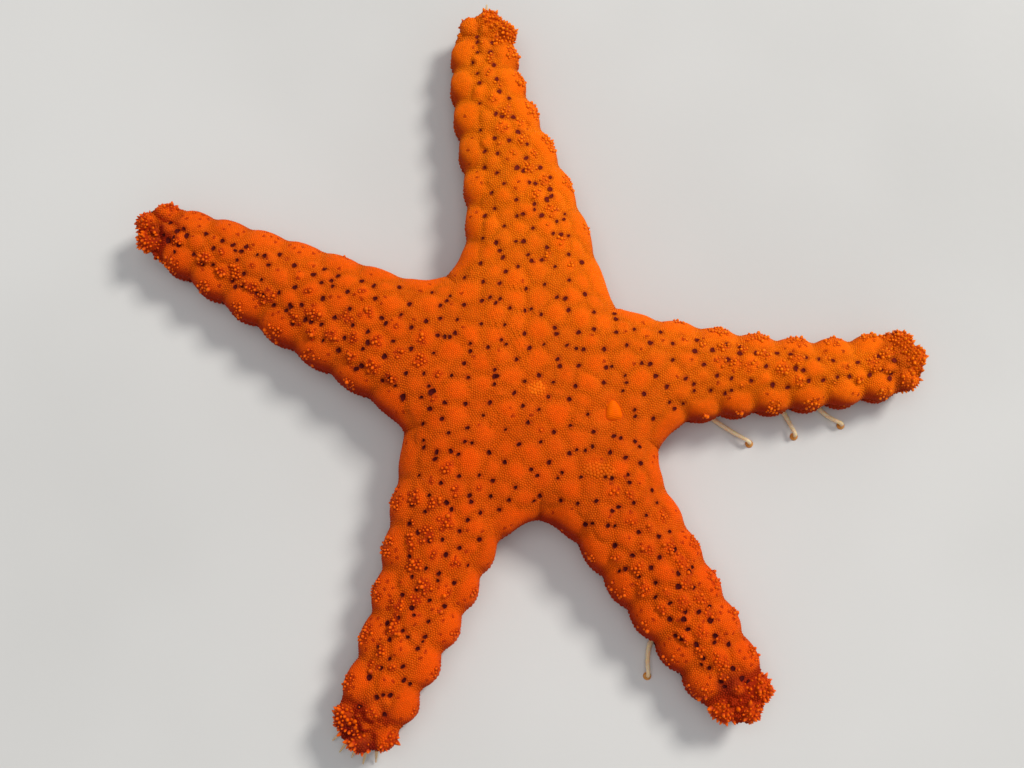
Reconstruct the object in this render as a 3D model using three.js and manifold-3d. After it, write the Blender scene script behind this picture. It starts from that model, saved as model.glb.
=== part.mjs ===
// A sea star of the Fromia kind, life size, lying on its underside with its arms spread.
//
// Millimetres, +Z up, z = 0 the surface that it lies on. The origin is the bottom centre of the box
// round the animal. Lengths along an arm run from the centre of the disc.
//
// The body is one closed loft. Ribs run from stations on the outline in to the middle line of each arm,
// and the five middle lines meet at the centre of the disc. Thin cuts then part the disc, the arms and
// the terminal plates. The arms carry the letters A to E, clockwise from the one opposite the madreporite.

import * as THREE from "three";
import { mergeVertices } from "three/addons/utils/BufferGeometryUtils.js";
import Module from "manifold-3d";

const wasm = await Module();
wasm.setup();

// ---------------------------------------------------------------- driving dimensions

const DISC_CENTRE = { x: 0.4, y: -4.2 }; // from the origin
const GAP = 0.3; // between pieces that meet

// bearing: direction of the tip, in degrees from +X. reach: from the disc's centre to the tip.
// sway: how far the middle line bends to the arm's left, at the lengths SWAY_AT.
// belly: how far each margin stands out of a straight line, half way along. end: half the width there.
// plates: the pairs of marginal plates along each margin. crowding: the share by which they are longer
// at the disc, and shorter at the tip. swell: how far they stand out on the left and the right margin,
// as a share of PLATE_SWELL.
const ARMS = [
  {
    letter: "a",
    bearing: 156.0,
    reach: 53.0,
    sway: [-0.2, -0.2, -0.2],
    belly: 0.4,
    end: 3.8,
    plates: 7,
    crowding: 0.1,
    swell: [0.7, 0.25],
  },
  {
    letter: "b",
    bearing: 95.6,
    reach: 50.3,
    sway: [-1.5, -0.4, 1.9],
    belly: -0.5,
    end: 4.2,
    plates: 7,
    crowding: 0.2,
    swell: [0.6, 0.8],
  },
  {
    letter: "c",
    bearing: 6.9,
    reach: 48.3,
    sway: [2.1, 0.2, -0.9],
    belly: -0.8,
    end: 4.2,
    plates: 7,
    crowding: -0.05,
    swell: [0.9, 0.8],
  },
  {
    letter: "d",
    bearing: 304.0,
    reach: 45.5,
    sway: [0.7, 0.4, 0.2],
    belly: 0.4,
    end: 4.3,
    plates: 6,
    crowding: 0.0,
    swell: [0.6, 0.7],
  },
  {
    letter: "e",
    bearing: 243.8,
    reach: 45.9,
    sway: [-3.3, -1.6, -0.6],
    belly: -0.2,
    end: 4.3,
    plates: 6,
    crowding: -0.1,
    swell: [1.4, 0.9],
  },
];
const SWAY_AT = [0.3, 0.55, 0.85]; // shares of the reach
const END_LENGTH = 4.2; // of the rounded end

// The crotch between each arm of ARMS and the next: its direction and distance from the centre.
const AXILS = [
  { bearing: 126, radius: 18.7 },
  { bearing: 48, radius: 15.3 },
  { bearing: 337, radius: 16.5 },
  { bearing: 272, radius: 15.2 },
  { bearing: 196, radius: 16.6 },
];
const FILLET_FADE = 1.3; // the length over which the fillet beside a crotch dies away

const BACK_HEIGHT = [9.6, 6.2]; // along the middle line, on the disc and at the tip
const BACK_FALL = 1.4; // the power by which the back falls towards the tip
const SEAM_HEIGHT = [3.5, 2.9]; // of the seam between upper and lower marginal plates
const SHOULDER_SPAN = 6.4; // how far in from the margin the steep part of the back goes
const SHOULDER_SHARE = 0.88; // of the back's rise
const BACK_ROWS = [0.06, 0.2, 0.48]; // of points on the back, by share of the rib

// Rows of marginal plates run along both sides of each arm, an upper and a lower plate in each pair.
const STATIONS_PER_PLATE = 3; // one in the furrow and two on the plate
const END_STATIONS = 6; // of the rounded end, from side to side
const FAN_START = 13; // ribs are square to the arm at its tip, and fan out to the crotches from the centre
const FAN_FADE = 8;
const PLATE_SWELL = [0.3, 0.6]; // how far the plates stand out of the furrows
const BACK_SWELL = [0.3, 0.25, 0.1]; // how far the rows of the back stand out of them
const UPPER_PLATE = 0.9; // its widest line, above the seam
const LOWER_PLATE = 1.3; // its widest line, below the seam
const SEAM_INSET = 0.3;
const KEEL = 0.4; // the least height of a lower plate's widest line above its foot

const UNDERSIDE_HEIGHT = 1.0; // clear of the ground, beside the grooves
const FURROW_HEIGHT = 1.4; // clear of the ground, between the pads
const PAD = [1.2, 2.6, 3.2]; // start and end of the flats under the plates, and of the slope behind them
const PAD_SPAN = 7; // ribs shorter than this have narrower pads
const END_LIFT = 0.9; // of the terminal plate above the ground
const GROOVE_LIP = 1.9; // from the middle line
const GROOVE_WALL = 1.2; // the eaves of its roof, from the middle line
const GROOVE_EAVES = 0.2; // how far they hang below it
const GROOVE_HEIGHT = [2.6, 1.7]; // of its roof above the ground, on the disc and at the tip
const MOUTH_HEIGHT = 3.6;
const MOUTH_RADIUS = 4;

const CUT_AT = 18; // where the arms are parted from the disc
const CUT_HALF_WIDTH = 11.5; // more than half an arm's, and clear of its neighbours
const TERMINAL_LENGTH = 2.6; // of the terminal plates

const MADREPORITE = {
  bearing: 345.5, // from the disc's centre
  distance: 9.2,
  length: 2.5,
  width: 1.95,
  apex: 95, // the direction of its narrow end
  rise: 0.45, // above the skin
  depth: 0.8, // below it
  bevel: 0.2,
};

const FOOT_RADIUS = 0.36;
const FOOT_STEPS = 5;
const SUCKER = { radius: 0.5, height: 0.35, sides: 10 };
// Tube feet that reach out past the margin. letter: their arm. furrow: the one that they leave by,
// counted from the disc. side: 1 is the arm's left. reach: beyond the margin. lean: towards the tip.
const FEET = [
  { letter: "c", furrow: 2, side: -1, reach: 3.6, lean: 1.4 },
  { letter: "c", furrow: 4, side: -1, reach: 2.6, lean: -0.3 },
  { letter: "c", furrow: 5, side: -1, reach: 1.8, lean: 1.7 },
  { letter: "d", furrow: 4, side: -1, reach: 2.2, lean: 2.4 },
];

const COLOURS = {
  skin: { color: 0xd9480f, roughness: 0.75, metalness: 0 },
  terminal: { color: 0xb83208, roughness: 0.8, metalness: 0 },
  madreporite: { color: 0xf56a14, roughness: 0.6, metalness: 0 },
  foot: { color: 0xd8a35c, roughness: 0.3, metalness: 0 },
};

// ---------------------------------------------------------------- helpers

const NEARBY = 0.05; // the step for taking directions along a curve
const { degToRad, lerp, clamp, smoothstep } = THREE.MathUtils;
const between = ([first, last], share) => lerp(first, last, clamp(share, 0, 1));
const polar = (bearing, radius) =>
  new THREE.Vector2(Math.cos(degToRad(bearing)), Math.sin(degToRad(bearing))).multiplyScalar(radius);
const leftOf = (direction) => new THREE.Vector2(-direction.y, direction.x);

/** The polynomial of least degree through the points (xs[i], ys[i]), at x. */
function interpolate(xs, ys, x) {
  let sum = 0;
  for (const [i, y] of ys.entries()) {
    const others = xs.filter((_, j) => j !== i);
    sum += others.reduce((product, other) => (product * (x - other)) / (xs[i] - other), y);
  }
  return sum;
}

/** A closed geometry as a manifold solid. */
function solid(geometry) {
  geometry.deleteAttribute("normal");
  geometry.deleteAttribute("uv");
  const merged = mergeVertices(geometry, 1e-4);
  const vertProperties = new Float32Array(merged.attributes.position.array);
  const triVerts = new Uint32Array(merged.index.array);
  return new wasm.Manifold(new wasm.Mesh({ numProp: 3, vertProperties, triVerts }));
}

/** A manifold solid as a named, flat-shaded mesh, moved from the disc's centre to the origin. */
function meshOf(name, shape, finish) {
  const { numProp, vertProperties, triVerts } = shape.getMesh();
  const positions = new THREE.InterleavedBufferAttribute(
    new THREE.InterleavedBuffer(vertProperties, numProp),
    3,
    0,
  );
  const indexed = new THREE.BufferGeometry();
  indexed.setAttribute("position", positions);
  indexed.setIndex(new THREE.BufferAttribute(triVerts, 1));
  const geometry = indexed.toNonIndexed();
  geometry.computeVertexNormals();
  const mesh = new THREE.Mesh(geometry, new THREE.MeshStandardMaterial({ ...finish, flatShading: true }));
  mesh.name = name;
  mesh.position.set(DISC_CENTRE.x, DISC_CENTRE.y, 0);
  return mesh;
}

// ---------------------------------------------------------------- lines of the arms

/** The point of the arm's middle line at this length. */
function middle(arm, length) {
  const lengths = [0, ...SWAY_AT.map((share) => share * arm.reach), arm.reach];
  const sway = interpolate(lengths, [0, ...arm.sway, 0], length);
  return polar(arm.bearing, length).add(polar(arm.bearing + 90, sway));
}

function heading(arm, length) {
  return middle(arm, length + NEARBY)
    .sub(middle(arm, length - NEARBY))
    .normalize();
}

const endAt = (arm) => arm.reach - END_LENGTH;

/**
 * One margin of an arm. start: the length at which it leaves the crotch. fillet: how far its fillet
 * stands out there. base: half the arm's width there without it. Both margins of a crotch leave it
 * square to its direction.
 */
function margin(arm, side, axil) {
  const corner = polar(axil.bearing, axil.radius);
  let start = axil.radius;
  for (let round = 0; round < 10; round++)
    start += corner.clone().sub(middle(arm, start)).dot(heading(arm, start));
  const forward = heading(arm, start);
  const left = leftOf(forward);
  const across = side * corner.clone().sub(middle(arm, start)).dot(left);
  const closing = (side * corner.dot(forward)) / corner.dot(left);
  const run = endAt(arm) - start;
  const fillet = (closing + (arm.end - across + 4 * arm.belly) / run) / (1 / FILLET_FADE - 1 / run);
  return { arm, side, start, run, fillet, base: across - fillet };
}

/** The point of a margin at this length. */
function edge({ arm, side, start, run, fillet, base }, length) {
  const share = (length - start) / run;
  const bulge = 4 * arm.belly * share * (1 - share);
  const halfWidth = lerp(base, arm.end, share) + bulge + fillet * Math.exp((start - length) / FILLET_FADE);
  return middle(arm, length).addScaledVector(leftOf(heading(arm, length)), side * halfWidth);
}

// ---------------------------------------------------------------- stations round the outline

const spaced = (arm, count) => count * (1 + arm.crowding * (1 - count));

/** Where the ribs of this count meet the middle line. */
function innerLength(arm, count) {
  const abreast = lerp(FAN_START, endAt(arm), spaced(arm, count));
  return abreast - FAN_START * Math.exp((FAN_START - abreast) / FAN_FADE);
}

/**
 * A station of a margin. point: on the outline. outward: square to it. share: of the way from the axil
 * to the rounded end. inner: where its rib ends, on the middle line. raised: 1 on a plate, 0 in a furrow.
 * swell: how far plates stand out there. lift: of the underside above the ground.
 */
function sideStation(line, index) {
  const { arm, side, start } = line;
  const count = index / (arm.plates * STATIONS_PER_PLATE);
  const share = spaced(arm, count);
  const length = lerp(start, endAt(arm), share);
  const tangent = edge(line, length + NEARBY)
    .sub(edge(line, length - NEARBY))
    .normalize();
  return {
    arm,
    share,
    point: edge(line, length),
    outward: leftOf(tangent).multiplyScalar(side),
    inner: innerLength(arm, count),
    raised: index % STATIONS_PER_PLATE === 0 ? 0 : 1,
    swell: between(PLATE_SWELL, share) * arm.swell[side > 0 ? 0 : 1],
    lift: 0,
  };
}

/** A station of the rounded end, from 0 on the arm's left to END_STATIONS on its right. */
function endStation(arm, index) {
  const turn = Math.PI * (0.5 - index / END_STATIONS);
  const forward = heading(arm, endAt(arm));
  const left = leftOf(forward);
  const at = (ahead, aside) => forward.clone().multiplyScalar(ahead).addScaledVector(left, aside);
  return {
    arm,
    share: 1,
    point: at(END_LENGTH * Math.cos(turn), arm.end * Math.sin(turn)).add(middle(arm, endAt(arm))),
    outward: at(Math.cos(turn) / END_LENGTH, Math.sin(turn) / arm.end).normalize(),
    inner: innerLength(arm, 1),
    raised: 1,
    swell: 0,
    lift: END_LIFT * Math.cos(turn),
  };
}

/** All the stations, anticlockwise. */
function outline() {
  const stations = [];
  for (const [i, arm] of [...ARMS.entries()].reverse()) {
    const right = margin(arm, -1, AXILS[i]);
    const left = margin(arm, 1, AXILS[(i + AXILS.length - 1) % AXILS.length]);
    const sideCount = arm.plates * STATIONS_PER_PLATE;
    for (let k = 0; k < sideCount; k++) stations.push(sideStation(right, k));
    for (let k = END_STATIONS; k >= 0; k--) stations.push(endStation(arm, k));
    for (let k = sideCount - 1; k > 0; k--) stations.push(sideStation(left, k));
  }
  return stations;
}

// ---------------------------------------------------------------- section along a rib

function ridgeHeight(arm, length) {
  return between(BACK_HEIGHT, (length / endAt(arm)) ** BACK_FALL);
}

/** Height of the back at a distance in from the margin, on a rib of this length and inner height. */
function backHeight(distance, rib, foot, ridge) {
  const turn = 1 - Math.min(distance / Math.min(rib, SHOULDER_SPAN), 1);
  const shoulder = Math.sqrt(1 - turn * turn);
  const rise = SHOULDER_SHARE * shoulder + (1 - SHOULDER_SHARE) * smoothstep(distance / rib, 0, 1);
  return lerp(foot, ridge, rise);
}

function grooveHeight(arm, length) {
  const roof = between(GROOVE_HEIGHT, length / endAt(arm));
  return lerp(MOUTH_HEIGHT, roof, smoothstep(length, 0, MOUTH_RADIUS));
}

/** The section along a station's rib: over the back to the middle line, and the way back underneath. */
function section(station) {
  const { arm, share, point, outward, inner, raised, swell, lift } = station;
  const rim = point.clone().addScaledVector(outward, swell * (raised - 0.5));
  const core = middle(arm, inner);
  const rib = rim.distanceTo(core);
  const seam = between(SEAM_HEIGHT, share) + lift / 2;
  const upper = seam + UPPER_PLATE;
  const ridge = ridgeHeight(arm, inner);
  const roof = grooveHeight(arm, inner);

  const ribDirection = core.clone().sub(rim).normalize();
  const skew = share < 1 ? Math.abs(leftOf(heading(arm, inner)).dot(ribDirection)) : 1;
  const narrow = Math.min(rib / PAD_SPAN, 1);
  const ground = lift + (1 - raised) * FURROW_HEIGHT;
  const at = (distance, height) => {
    const place = rim.clone().addScaledVector(ribDirection, distance);
    return new THREE.Vector3(place.x, place.y, height);
  };

  const back = BACK_ROWS.map((row, i) => {
    const height = backHeight(row * rib, rib, upper, ridge);
    return at(row * rib, height + BACK_SWELL[i] * (raised - 0.5));
  });
  return [
    at(SEAM_INSET, seam),
    at(0, upper),
    ...back,
    new THREE.Vector3(core.x, core.y, ridge),
    new THREE.Vector3(core.x, core.y, roof),
    at(rib - GROOVE_WALL / skew, roof - GROOVE_EAVES),
    at(rib - GROOVE_LIP / skew, UNDERSIDE_HEIGHT + lift),
    at(PAD[2] * narrow, UNDERSIDE_HEIGHT + lift),
    at(PAD[1] * narrow, ground),
    at(PAD[0] * narrow, ground),
    at(SEAM_INSET / 3, Math.max(seam - LOWER_PLATE, ground + KEEL)),
  ];
}

/** The whole body as one solid, before it is parted. */
function bodySolid() {
  const sections = outline().map(section);
  const corners = [];
  const triangle = (...points) => {
    const [a, b, c] = points;
    if (a.equals(b) || b.equals(c) || c.equals(a)) return;
    corners.push(a, b, c);
  };
  for (const [i, here] of sections.entries()) {
    const next = sections[(i + 1) % sections.length];
    for (let k = 0; k < here.length; k++) {
      const then = (k + 1) % here.length;
      if (k === BACK_ROWS.length + 2) continue;
      triangle(here[k], next[k], next[then]);
      triangle(here[k], next[then], here[then]);
    }
  }
  return solid(new THREE.BufferGeometry().setFromPoints(corners));
}

// ---------------------------------------------------------------- parting the body

/** A block that holds all of an arm beyond this length. */
function beyond(arm, length) {
  const reach = 2 * arm.reach;
  const block = new THREE.BoxGeometry(reach, 2 * CUT_HALF_WIDTH, 4 * BACK_HEIGHT[0]);
  const forward = heading(arm, length);
  const place = middle(arm, length).addScaledVector(forward, reach / 2);
  block.rotateZ(forward.angle());
  block.translate(place.x, place.y, 0);
  return solid(block);
}

/** The madreporite's outline, grown by a margin: a blunt triangle, its narrow end along +X. */
function madreporiteOutline(grown) {
  const tip = MADREPORITE.length * 0.55 + grown;
  const foot = -MADREPORITE.length * 0.45 - grown;
  const half = MADREPORITE.width / 2 + grown;
  const shape = new THREE.Shape();
  shape.moveTo(tip, 0);
  shape.bezierCurveTo(tip, half * 0.5, 0, half, foot * 0.6, half);
  shape.quadraticCurveTo(foot, half, foot, 0);
  shape.quadraticCurveTo(foot, -half, foot * 0.6, -half);
  shape.bezierCurveTo(0, -half, tip, -half * 0.5, tip, 0);
  return shape;
}

/** A plug of the madreporite's outline between two heights, its edges rounded by the bevel. */
function madreporitePlug(grown, bottom, top, bevel) {
  const geometry = new THREE.ExtrudeGeometry(madreporiteOutline(grown - bevel), {
    depth: top - bottom - 2 * bevel,
    curveSegments: 4,
    bevelEnabled: bevel > 0,
    bevelSize: bevel,
    bevelThickness: bevel,
    bevelSegments: 1,
  });
  const place = polar(MADREPORITE.bearing, MADREPORITE.distance);
  geometry.translate(0, 0, bottom + bevel);
  geometry.rotateZ(degToRad(MADREPORITE.apex));
  geometry.translate(place.x, place.y, 0);
  return solid(geometry);
}

/** Height of the back where the madreporite sits, between the second and the third crotch. */
function madreporiteSeat() {
  const rib = AXILS[2].radius;
  const foot = SEAM_HEIGHT[0] + UPPER_PLATE;
  return backHeight(rib - MADREPORITE.distance, rib, foot, BACK_HEIGHT[0]);
}

// ---------------------------------------------------------------- reaching tube feet

/** A tube foot: out from under the arm, along the ground, to its sucker. */
function footSolid({ letter, furrow, side, reach, lean }) {
  const i = ARMS.findIndex((arm) => arm.letter === letter);
  const arm = ARMS[i];
  const axil = AXILS[side < 0 ? i : (i + AXILS.length - 1) % AXILS.length];
  const station = sideStation(margin(arm, side, axil), furrow * STATIONS_PER_PLATE);
  const inward = middle(arm, station.inner).sub(station.point).normalize();
  const forward = leftOf(station.outward).multiplyScalar(-side);
  const at = (distance, ahead, height) => {
    const place = station.point.clone().addScaledVector(inward, distance).addScaledVector(forward, ahead);
    return new THREE.Vector3(place.x, place.y, height);
  };
  const low = FOOT_RADIUS + 0.05;
  const path = new THREE.CatmullRomCurve3([
    at(PAD[1], 0, low),
    at(PAD[0] / 2, 0, low),
    at(-reach * 0.4, lean * 0.4, low + 0.3),
    at(-reach * 0.9, lean * 0.9, low + 0.6),
    at(-reach, lean, SUCKER.height * 0.6),
  ]);
  const profile = new THREE.Shape().absellipse(0, 0, FOOT_RADIUS, FOOT_RADIUS, 0, 2 * Math.PI);
  const tube = new THREE.ExtrudeGeometry(profile, {
    steps: FOOT_STEPS,
    curveSegments: 4,
    extrudePath: path,
  });
  const { radius, height, sides } = SUCKER;
  const sucker = new THREE.CylinderGeometry(radius * 0.8, radius, height, sides);
  sucker.rotateX(Math.PI / 2);
  const end = path.getPoint(1);
  sucker.translate(end.x, end.y, height / 2);
  return solid(tube).add(solid(sucker));
}

// ---------------------------------------------------------------- the animal

const animal = new THREE.Group();
let rest = bodySolid();
const seat = madreporiteSeat();
const recess = madreporitePlug(GAP, seat - MADREPORITE.depth, 2 * BACK_HEIGHT[0], 0);
rest = rest.subtract(recess);

for (const arm of ARMS) {
  const terminalAt = arm.reach - TERMINAL_LENGTH;
  const limb = rest.intersect(beyond(arm, CUT_AT + GAP / 2)).subtract(beyond(arm, terminalAt - GAP / 2));
  const terminal = rest.intersect(beyond(arm, terminalAt + GAP / 2));
  rest = rest.subtract(beyond(arm, CUT_AT - GAP / 2));
  animal.add(meshOf(`arm_${arm.letter}`, limb, COLOURS.skin));
  animal.add(meshOf(`terminal_${arm.letter}`, terminal, COLOURS.terminal));
}
animal.add(meshOf("disc", rest, COLOURS.skin));

const { rise, depth, bevel } = MADREPORITE;
const plug = madreporitePlug(0, seat - depth + GAP, seat + rise, bevel);
animal.add(meshOf("madreporite", plug, COLOURS.madreporite));

for (const [i, foot] of FEET.entries())
  animal.add(meshOf(`tube_foot_${i + 1}`, footSolid(foot), COLOURS.foot));

export default animal;
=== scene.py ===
"""A sea star of the Fromia kind in its still pose: skin, granules, pores, tubercles, tube feet and spines.

Lengths are millimetres from the centre of the disc until a mesh is made. Then they are metres in the frame
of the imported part. The lines of the arms and the section along a rib are those of the part.
"""

import math
from functools import cache
from itertools import product

import bpy
import numpy as np
from mathutils import Matrix, Vector
from mathutils.bvhtree import BVHTree
from mathutils.kdtree import KDTree


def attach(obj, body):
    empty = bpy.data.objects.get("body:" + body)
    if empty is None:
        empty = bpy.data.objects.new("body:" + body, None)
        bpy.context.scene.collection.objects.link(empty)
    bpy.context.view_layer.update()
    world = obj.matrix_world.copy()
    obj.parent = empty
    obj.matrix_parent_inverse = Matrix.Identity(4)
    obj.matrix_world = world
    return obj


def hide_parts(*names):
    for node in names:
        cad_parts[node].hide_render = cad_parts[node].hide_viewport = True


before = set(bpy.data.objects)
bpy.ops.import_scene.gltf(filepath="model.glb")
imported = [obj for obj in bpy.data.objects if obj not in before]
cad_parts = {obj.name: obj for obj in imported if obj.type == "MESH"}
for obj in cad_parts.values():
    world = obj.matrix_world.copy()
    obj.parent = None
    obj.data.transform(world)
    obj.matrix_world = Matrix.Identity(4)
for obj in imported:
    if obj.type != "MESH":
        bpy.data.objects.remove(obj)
scene = bpy.context.scene
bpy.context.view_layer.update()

# ---------------------------------------------------------------- dimensions shared with the part

DISC_CENTRE = (0.4, -4.2)  # from the origin of the part

# letter: bearing and reach of the tip, bend to the left at SWAY_AT, belly of the margins, half width at
# the end, marginal plates, how they crowd together, and how far they stand out on the left and the right
ARMS = {
    "a": (156.0, 53.0, (-0.2, -0.2, -0.2), 0.4, 3.8, 7, 0.1, (0.7, 0.25)),
    "b": (95.6, 50.3, (-1.5, -0.4, 1.9), -0.5, 4.2, 7, 0.2, (0.6, 0.8)),
    "c": (6.9, 48.3, (2.1, 0.2, -0.9), -0.8, 4.2, 7, -0.05, (0.9, 0.8)),
    "d": (304.0, 45.5, (0.7, 0.4, 0.2), 0.4, 4.3, 6, 0.0, (0.6, 0.7)),
    "e": (243.8, 45.9, (-3.3, -1.6, -0.6), -0.2, 4.3, 6, -0.1, (1.4, 0.9)),
}
SWAY_AT = (0.3, 0.55, 0.85)  # shares of the reach
END_LENGTH = 4.2  # of the rounded end
# the crotch between each arm and the next: its bearing and distance from the centre
AXILS = [(126, 18.7), (48, 15.3), (337, 16.5), (272, 15.2), (196, 16.6)]
FILLET_FADE = 1.3  # the length over which the fillet beside a crotch dies away
MM = 0.001  # in metres

BACK_HEIGHT = (9.6, 6.2)  # along the middle line, on the disc and at the tip
BACK_FALL = 1.4  # the power by which it falls
SEAM_HEIGHT = (3.5, 2.9)  # of the seam between upper and lower marginal plates
SHOULDER_SPAN = 6.4  # how far in from the margin the steep part of the back goes
SHOULDER_SHARE = 0.88  # of the back's rise

FAN_START = 13  # ribs are square to the arm at its tip, and fan out to the crotches from the centre
FAN_FADE = 8
PLATE_SWELL = (0.3, 0.6)  # how far the plates stand out of the furrows
BACK_SWELL = ((0, 0.06, 0.2, 0.48, 1), (0, 0.3, 0.25, 0.1, 0))  # the same on the back, at shares of a rib
UPPER_PLATE = 0.9  # its widest line, above the seam
LOWER_PLATE = 1.3  # its widest line, below the seam
SEAM_INSET = 0.3  # from the margin
KEEL = 0.4  # the least height of a lower plate's widest line above its foot

UNDERSIDE_HEIGHT = 1.0  # clear of the ground, beside the grooves
FURROW_HEIGHT = 1.4  # clear of the ground, between the pads
PAD = (1.2, 2.6, 3.2)  # start and end of the flats under the plates, and of the slope behind them
PAD_SPAN = 7  # ribs shorter than this have narrower pads
END_LIFT = 0.9  # of the rounded end above the ground
GROOVE_LIP = 1.9  # from the middle line
GROOVE_WALL = 1.2  # the eaves of its roof, from the middle line
GROOVE_EAVES = 0.2  # how far they hang below it
GROOVE_HEIGHT = (2.6, 1.7)  # of its roof above the ground, on the disc and at the tip
MOUTH_HEIGHT = 3.6
MOUTH_RADIUS = 4

MADREPORITE = {"bearing": 345.5, "distance": 9.2, "length": 2.5, "width": 1.95, "apex": 95, "rise": 0.45}

FOOT_RADIUS = 0.36
SUCKER_RADIUS = 0.5
SUCKER_HEIGHT = 0.35
# letter, furrow, side, reach and lean of each tube foot that reaches past the margin
FEET = [("c", 2, -1, 3.6, 1.4), ("c", 4, -1, 2.6, -0.3), ("c", 5, -1, 1.8, 1.7), ("d", 4, -1, 2.2, 2.4)]

# ---------------------------------------------------------------- dimensions of the looks

END_SHARE = 0.999  # of an arm's length: what is past it lies on the rounded end
STATIONS_PER_PLATE = 15  # from furrow to furrow
END_STATIONS = 16  # of the rounded end, from side to side
TOP_POINTS = 44  # of a rib on the back
UNDER_POINTS = 24  # and below
BACK_STEPS = 90  # points by which a rib is first worked out on the back
UNDER_STEPS = 120  # and below
ROUNDINGS = 8  # times that the corners below are evened out

COAT_DEPTH = 0.16  # from the surface of the part down to the skin
PLATE_GRANULES = 0.25  # pitch of the fine granules on the plates
GAP_GRANULES = 0.31  # of the coarser ones between them
END_GRANULES = 0.31  # of those at the ends of the arms
UNDER_GRANULES = 0.5  # of those on the underside
GRANULE_RADIUS = (0.51, 0.6)  # shares of the pitch
UNDER_RADIUS = (0.46, 0.53)
GRANULE_HEIGHT = (0.85, 1.1)  # shares of the coat's depth
UNDER_HEIGHT = (0.85, 1.05)
TINT_SHARES = (0.6, 0.4)  # of the granule itself and of its plate
FLATTENED = (0.64, 0.38)  # shares of that height on the back, in the gaps and on the plates
COARSE_HEIGHT = 1.7  # times that
NODULAR_HEIGHT = 0.9  # and up to this share more at the tips
KNOB_PITCH = 0.43  # of the places for knobs
TIP_PITCH = 0.46  # and for those at the tips

# patches of the coarsest granules on the disc: centre, half length, half width, bearing and paleness
COARSE_PATCHES = [((0.0, 0.15), 1.0, 0.9, 0, 0.5), ((7.2, -9.3), 1.9, 0.95, -8, 0.22)]
COARSE_FADE = (0.75, 1.2)  # over these shares of its half length and half width a patch ends
COARSE_GRANULES = 0.44  # their pitch
DISC_FROM = 6  # height above which a patch of the disc can lie
NODULAR_END = (0.93, 1.0)  # the share of the arm over which its granules become uneven

UPPER_ARC = 3.4  # from the seam up to the middle of an upper marginal plate
LOWER_ARC = 1.4  # and down to the middle of a lower one
LOWER_GAPS_END = (2.2, 3.4)  # lengths from the seam over which the gaps between lower plates end
END_PLATE_ARC = 0.7 * UPPER_ARC  # and up to the middle of a plate round the end
ROW_PITCH = (3.6, 3.9)  # of the large plates along the middle of an arm, on the disc and at the tip
SMALL_PITCH = (2.8, 2.3)  # of the small plates in between
END_PITCH = 1.7  # of the lumps at the ends of the arms
RELIEF = (0.3, 0.52)  # how far the gaps lie below the plates, on the disc and at the tip
MARGIN_RELIEF = 0.75  # its share by the seam
MARGIN_FADE = (1.8, 4.5)  # lengths from the seam over which it grows to the whole
END_RELIEF = 1.5  # its share on the rounded ends
SMALL_ROOM = 1.4  # the least distance from a small plate to a large one
SMALL_LOWEST = UPPER_ARC + 1.2  # and the least length from the seam up to it
END_ROOM = 1.0  # the same for a lump at the end
END_LOWEST = 0.4

# Each holds a number for the upper and lower marginal plates, the row along the arm and the small ones.
PLATE_WEIGHTS = (1.3, 0.3, 0.35, -0.1)  # how far a plate spreads at the cost of its neighbours
WEIGHTS_VARY = (0, 0, 0.2, 0.35)
PLATE_CROWNS = (1.0, 1.0, 0.85, 0.65)  # its height, as a share of the relief
CROWNS_VARY = (0, 0, 0.15, 0.35)
PLATE_GAPS = (0.1, 0.1, 0.16, 0.16)  # half the gap round it
GAPS_VARY = (0, 0, 0.1, 0.12)
PLATE_POWERS = (3.0, 2.4, 2.2, 2.0)  # the greater, the flatter a plate and the steeper its rim
KNOB_SHIFTS = (1.1, 0.5, 0.4, 0.3)  # from its centre out to the heart of its cluster of knobs
KNOB_SHARES = (1.0, 1.0, 0.6, 0.6)  # how far it has a cluster at all

CREASE = 0.3  # depth of the short fold inwards from each crotch
CREASE_SPANS = ((0.8, 1.8), (3, 6))  # lengths from the seam over which it deepens, and dies away

PORE_RADIUS = (0.165, 0.26)  # the least and the greatest
PORE_SPACING = (1.92, 1.55)  # on the disc and at the tip
PORE_MARGIN = (5.4, 4.4)  # the least length from the seam up to a pore, on the disc and at the tip
PORE_GAPS = (0.5, 1.7)  # how much further from a pore the next two plates may be than the nearest
TWIN_SHARE = 0.3  # of the pores that have another close by
TWIN_APART = (0.75, 1.0)  # the least and the greatest distance between the two
MADREPORITE_CLEAR = 2.1  # from its middle to the nearest pore
SEAM_PORE = 0.27  # radius
SEAM_PORE_ARC = 0.5  # from the seam down to its middle
PORE_CLEAR = 0.1  # from the rim of a pore to the nearest granule
UNDER_PORE_CLEAR = 0.15
LIP_CLEAR = 0.9  # from the lip of the groove, where the spines stand, to the granules below
DOME_CLEAR = 0.12  # from the madreporite
KNOB_CLEAR = 0.22  # from the middle of a knob
TIP_KNOB_CLEAR = 0.32

# letter: how strongly the plates are knobbed on the left and on the right of the arm
KNOBBED = {"a": (1.2, 0.3), "b": (0.15, 1.3), "c": (1.4, 0.7), "d": (1.2, 0.9), "e": (0.4, 1.2)}
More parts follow.
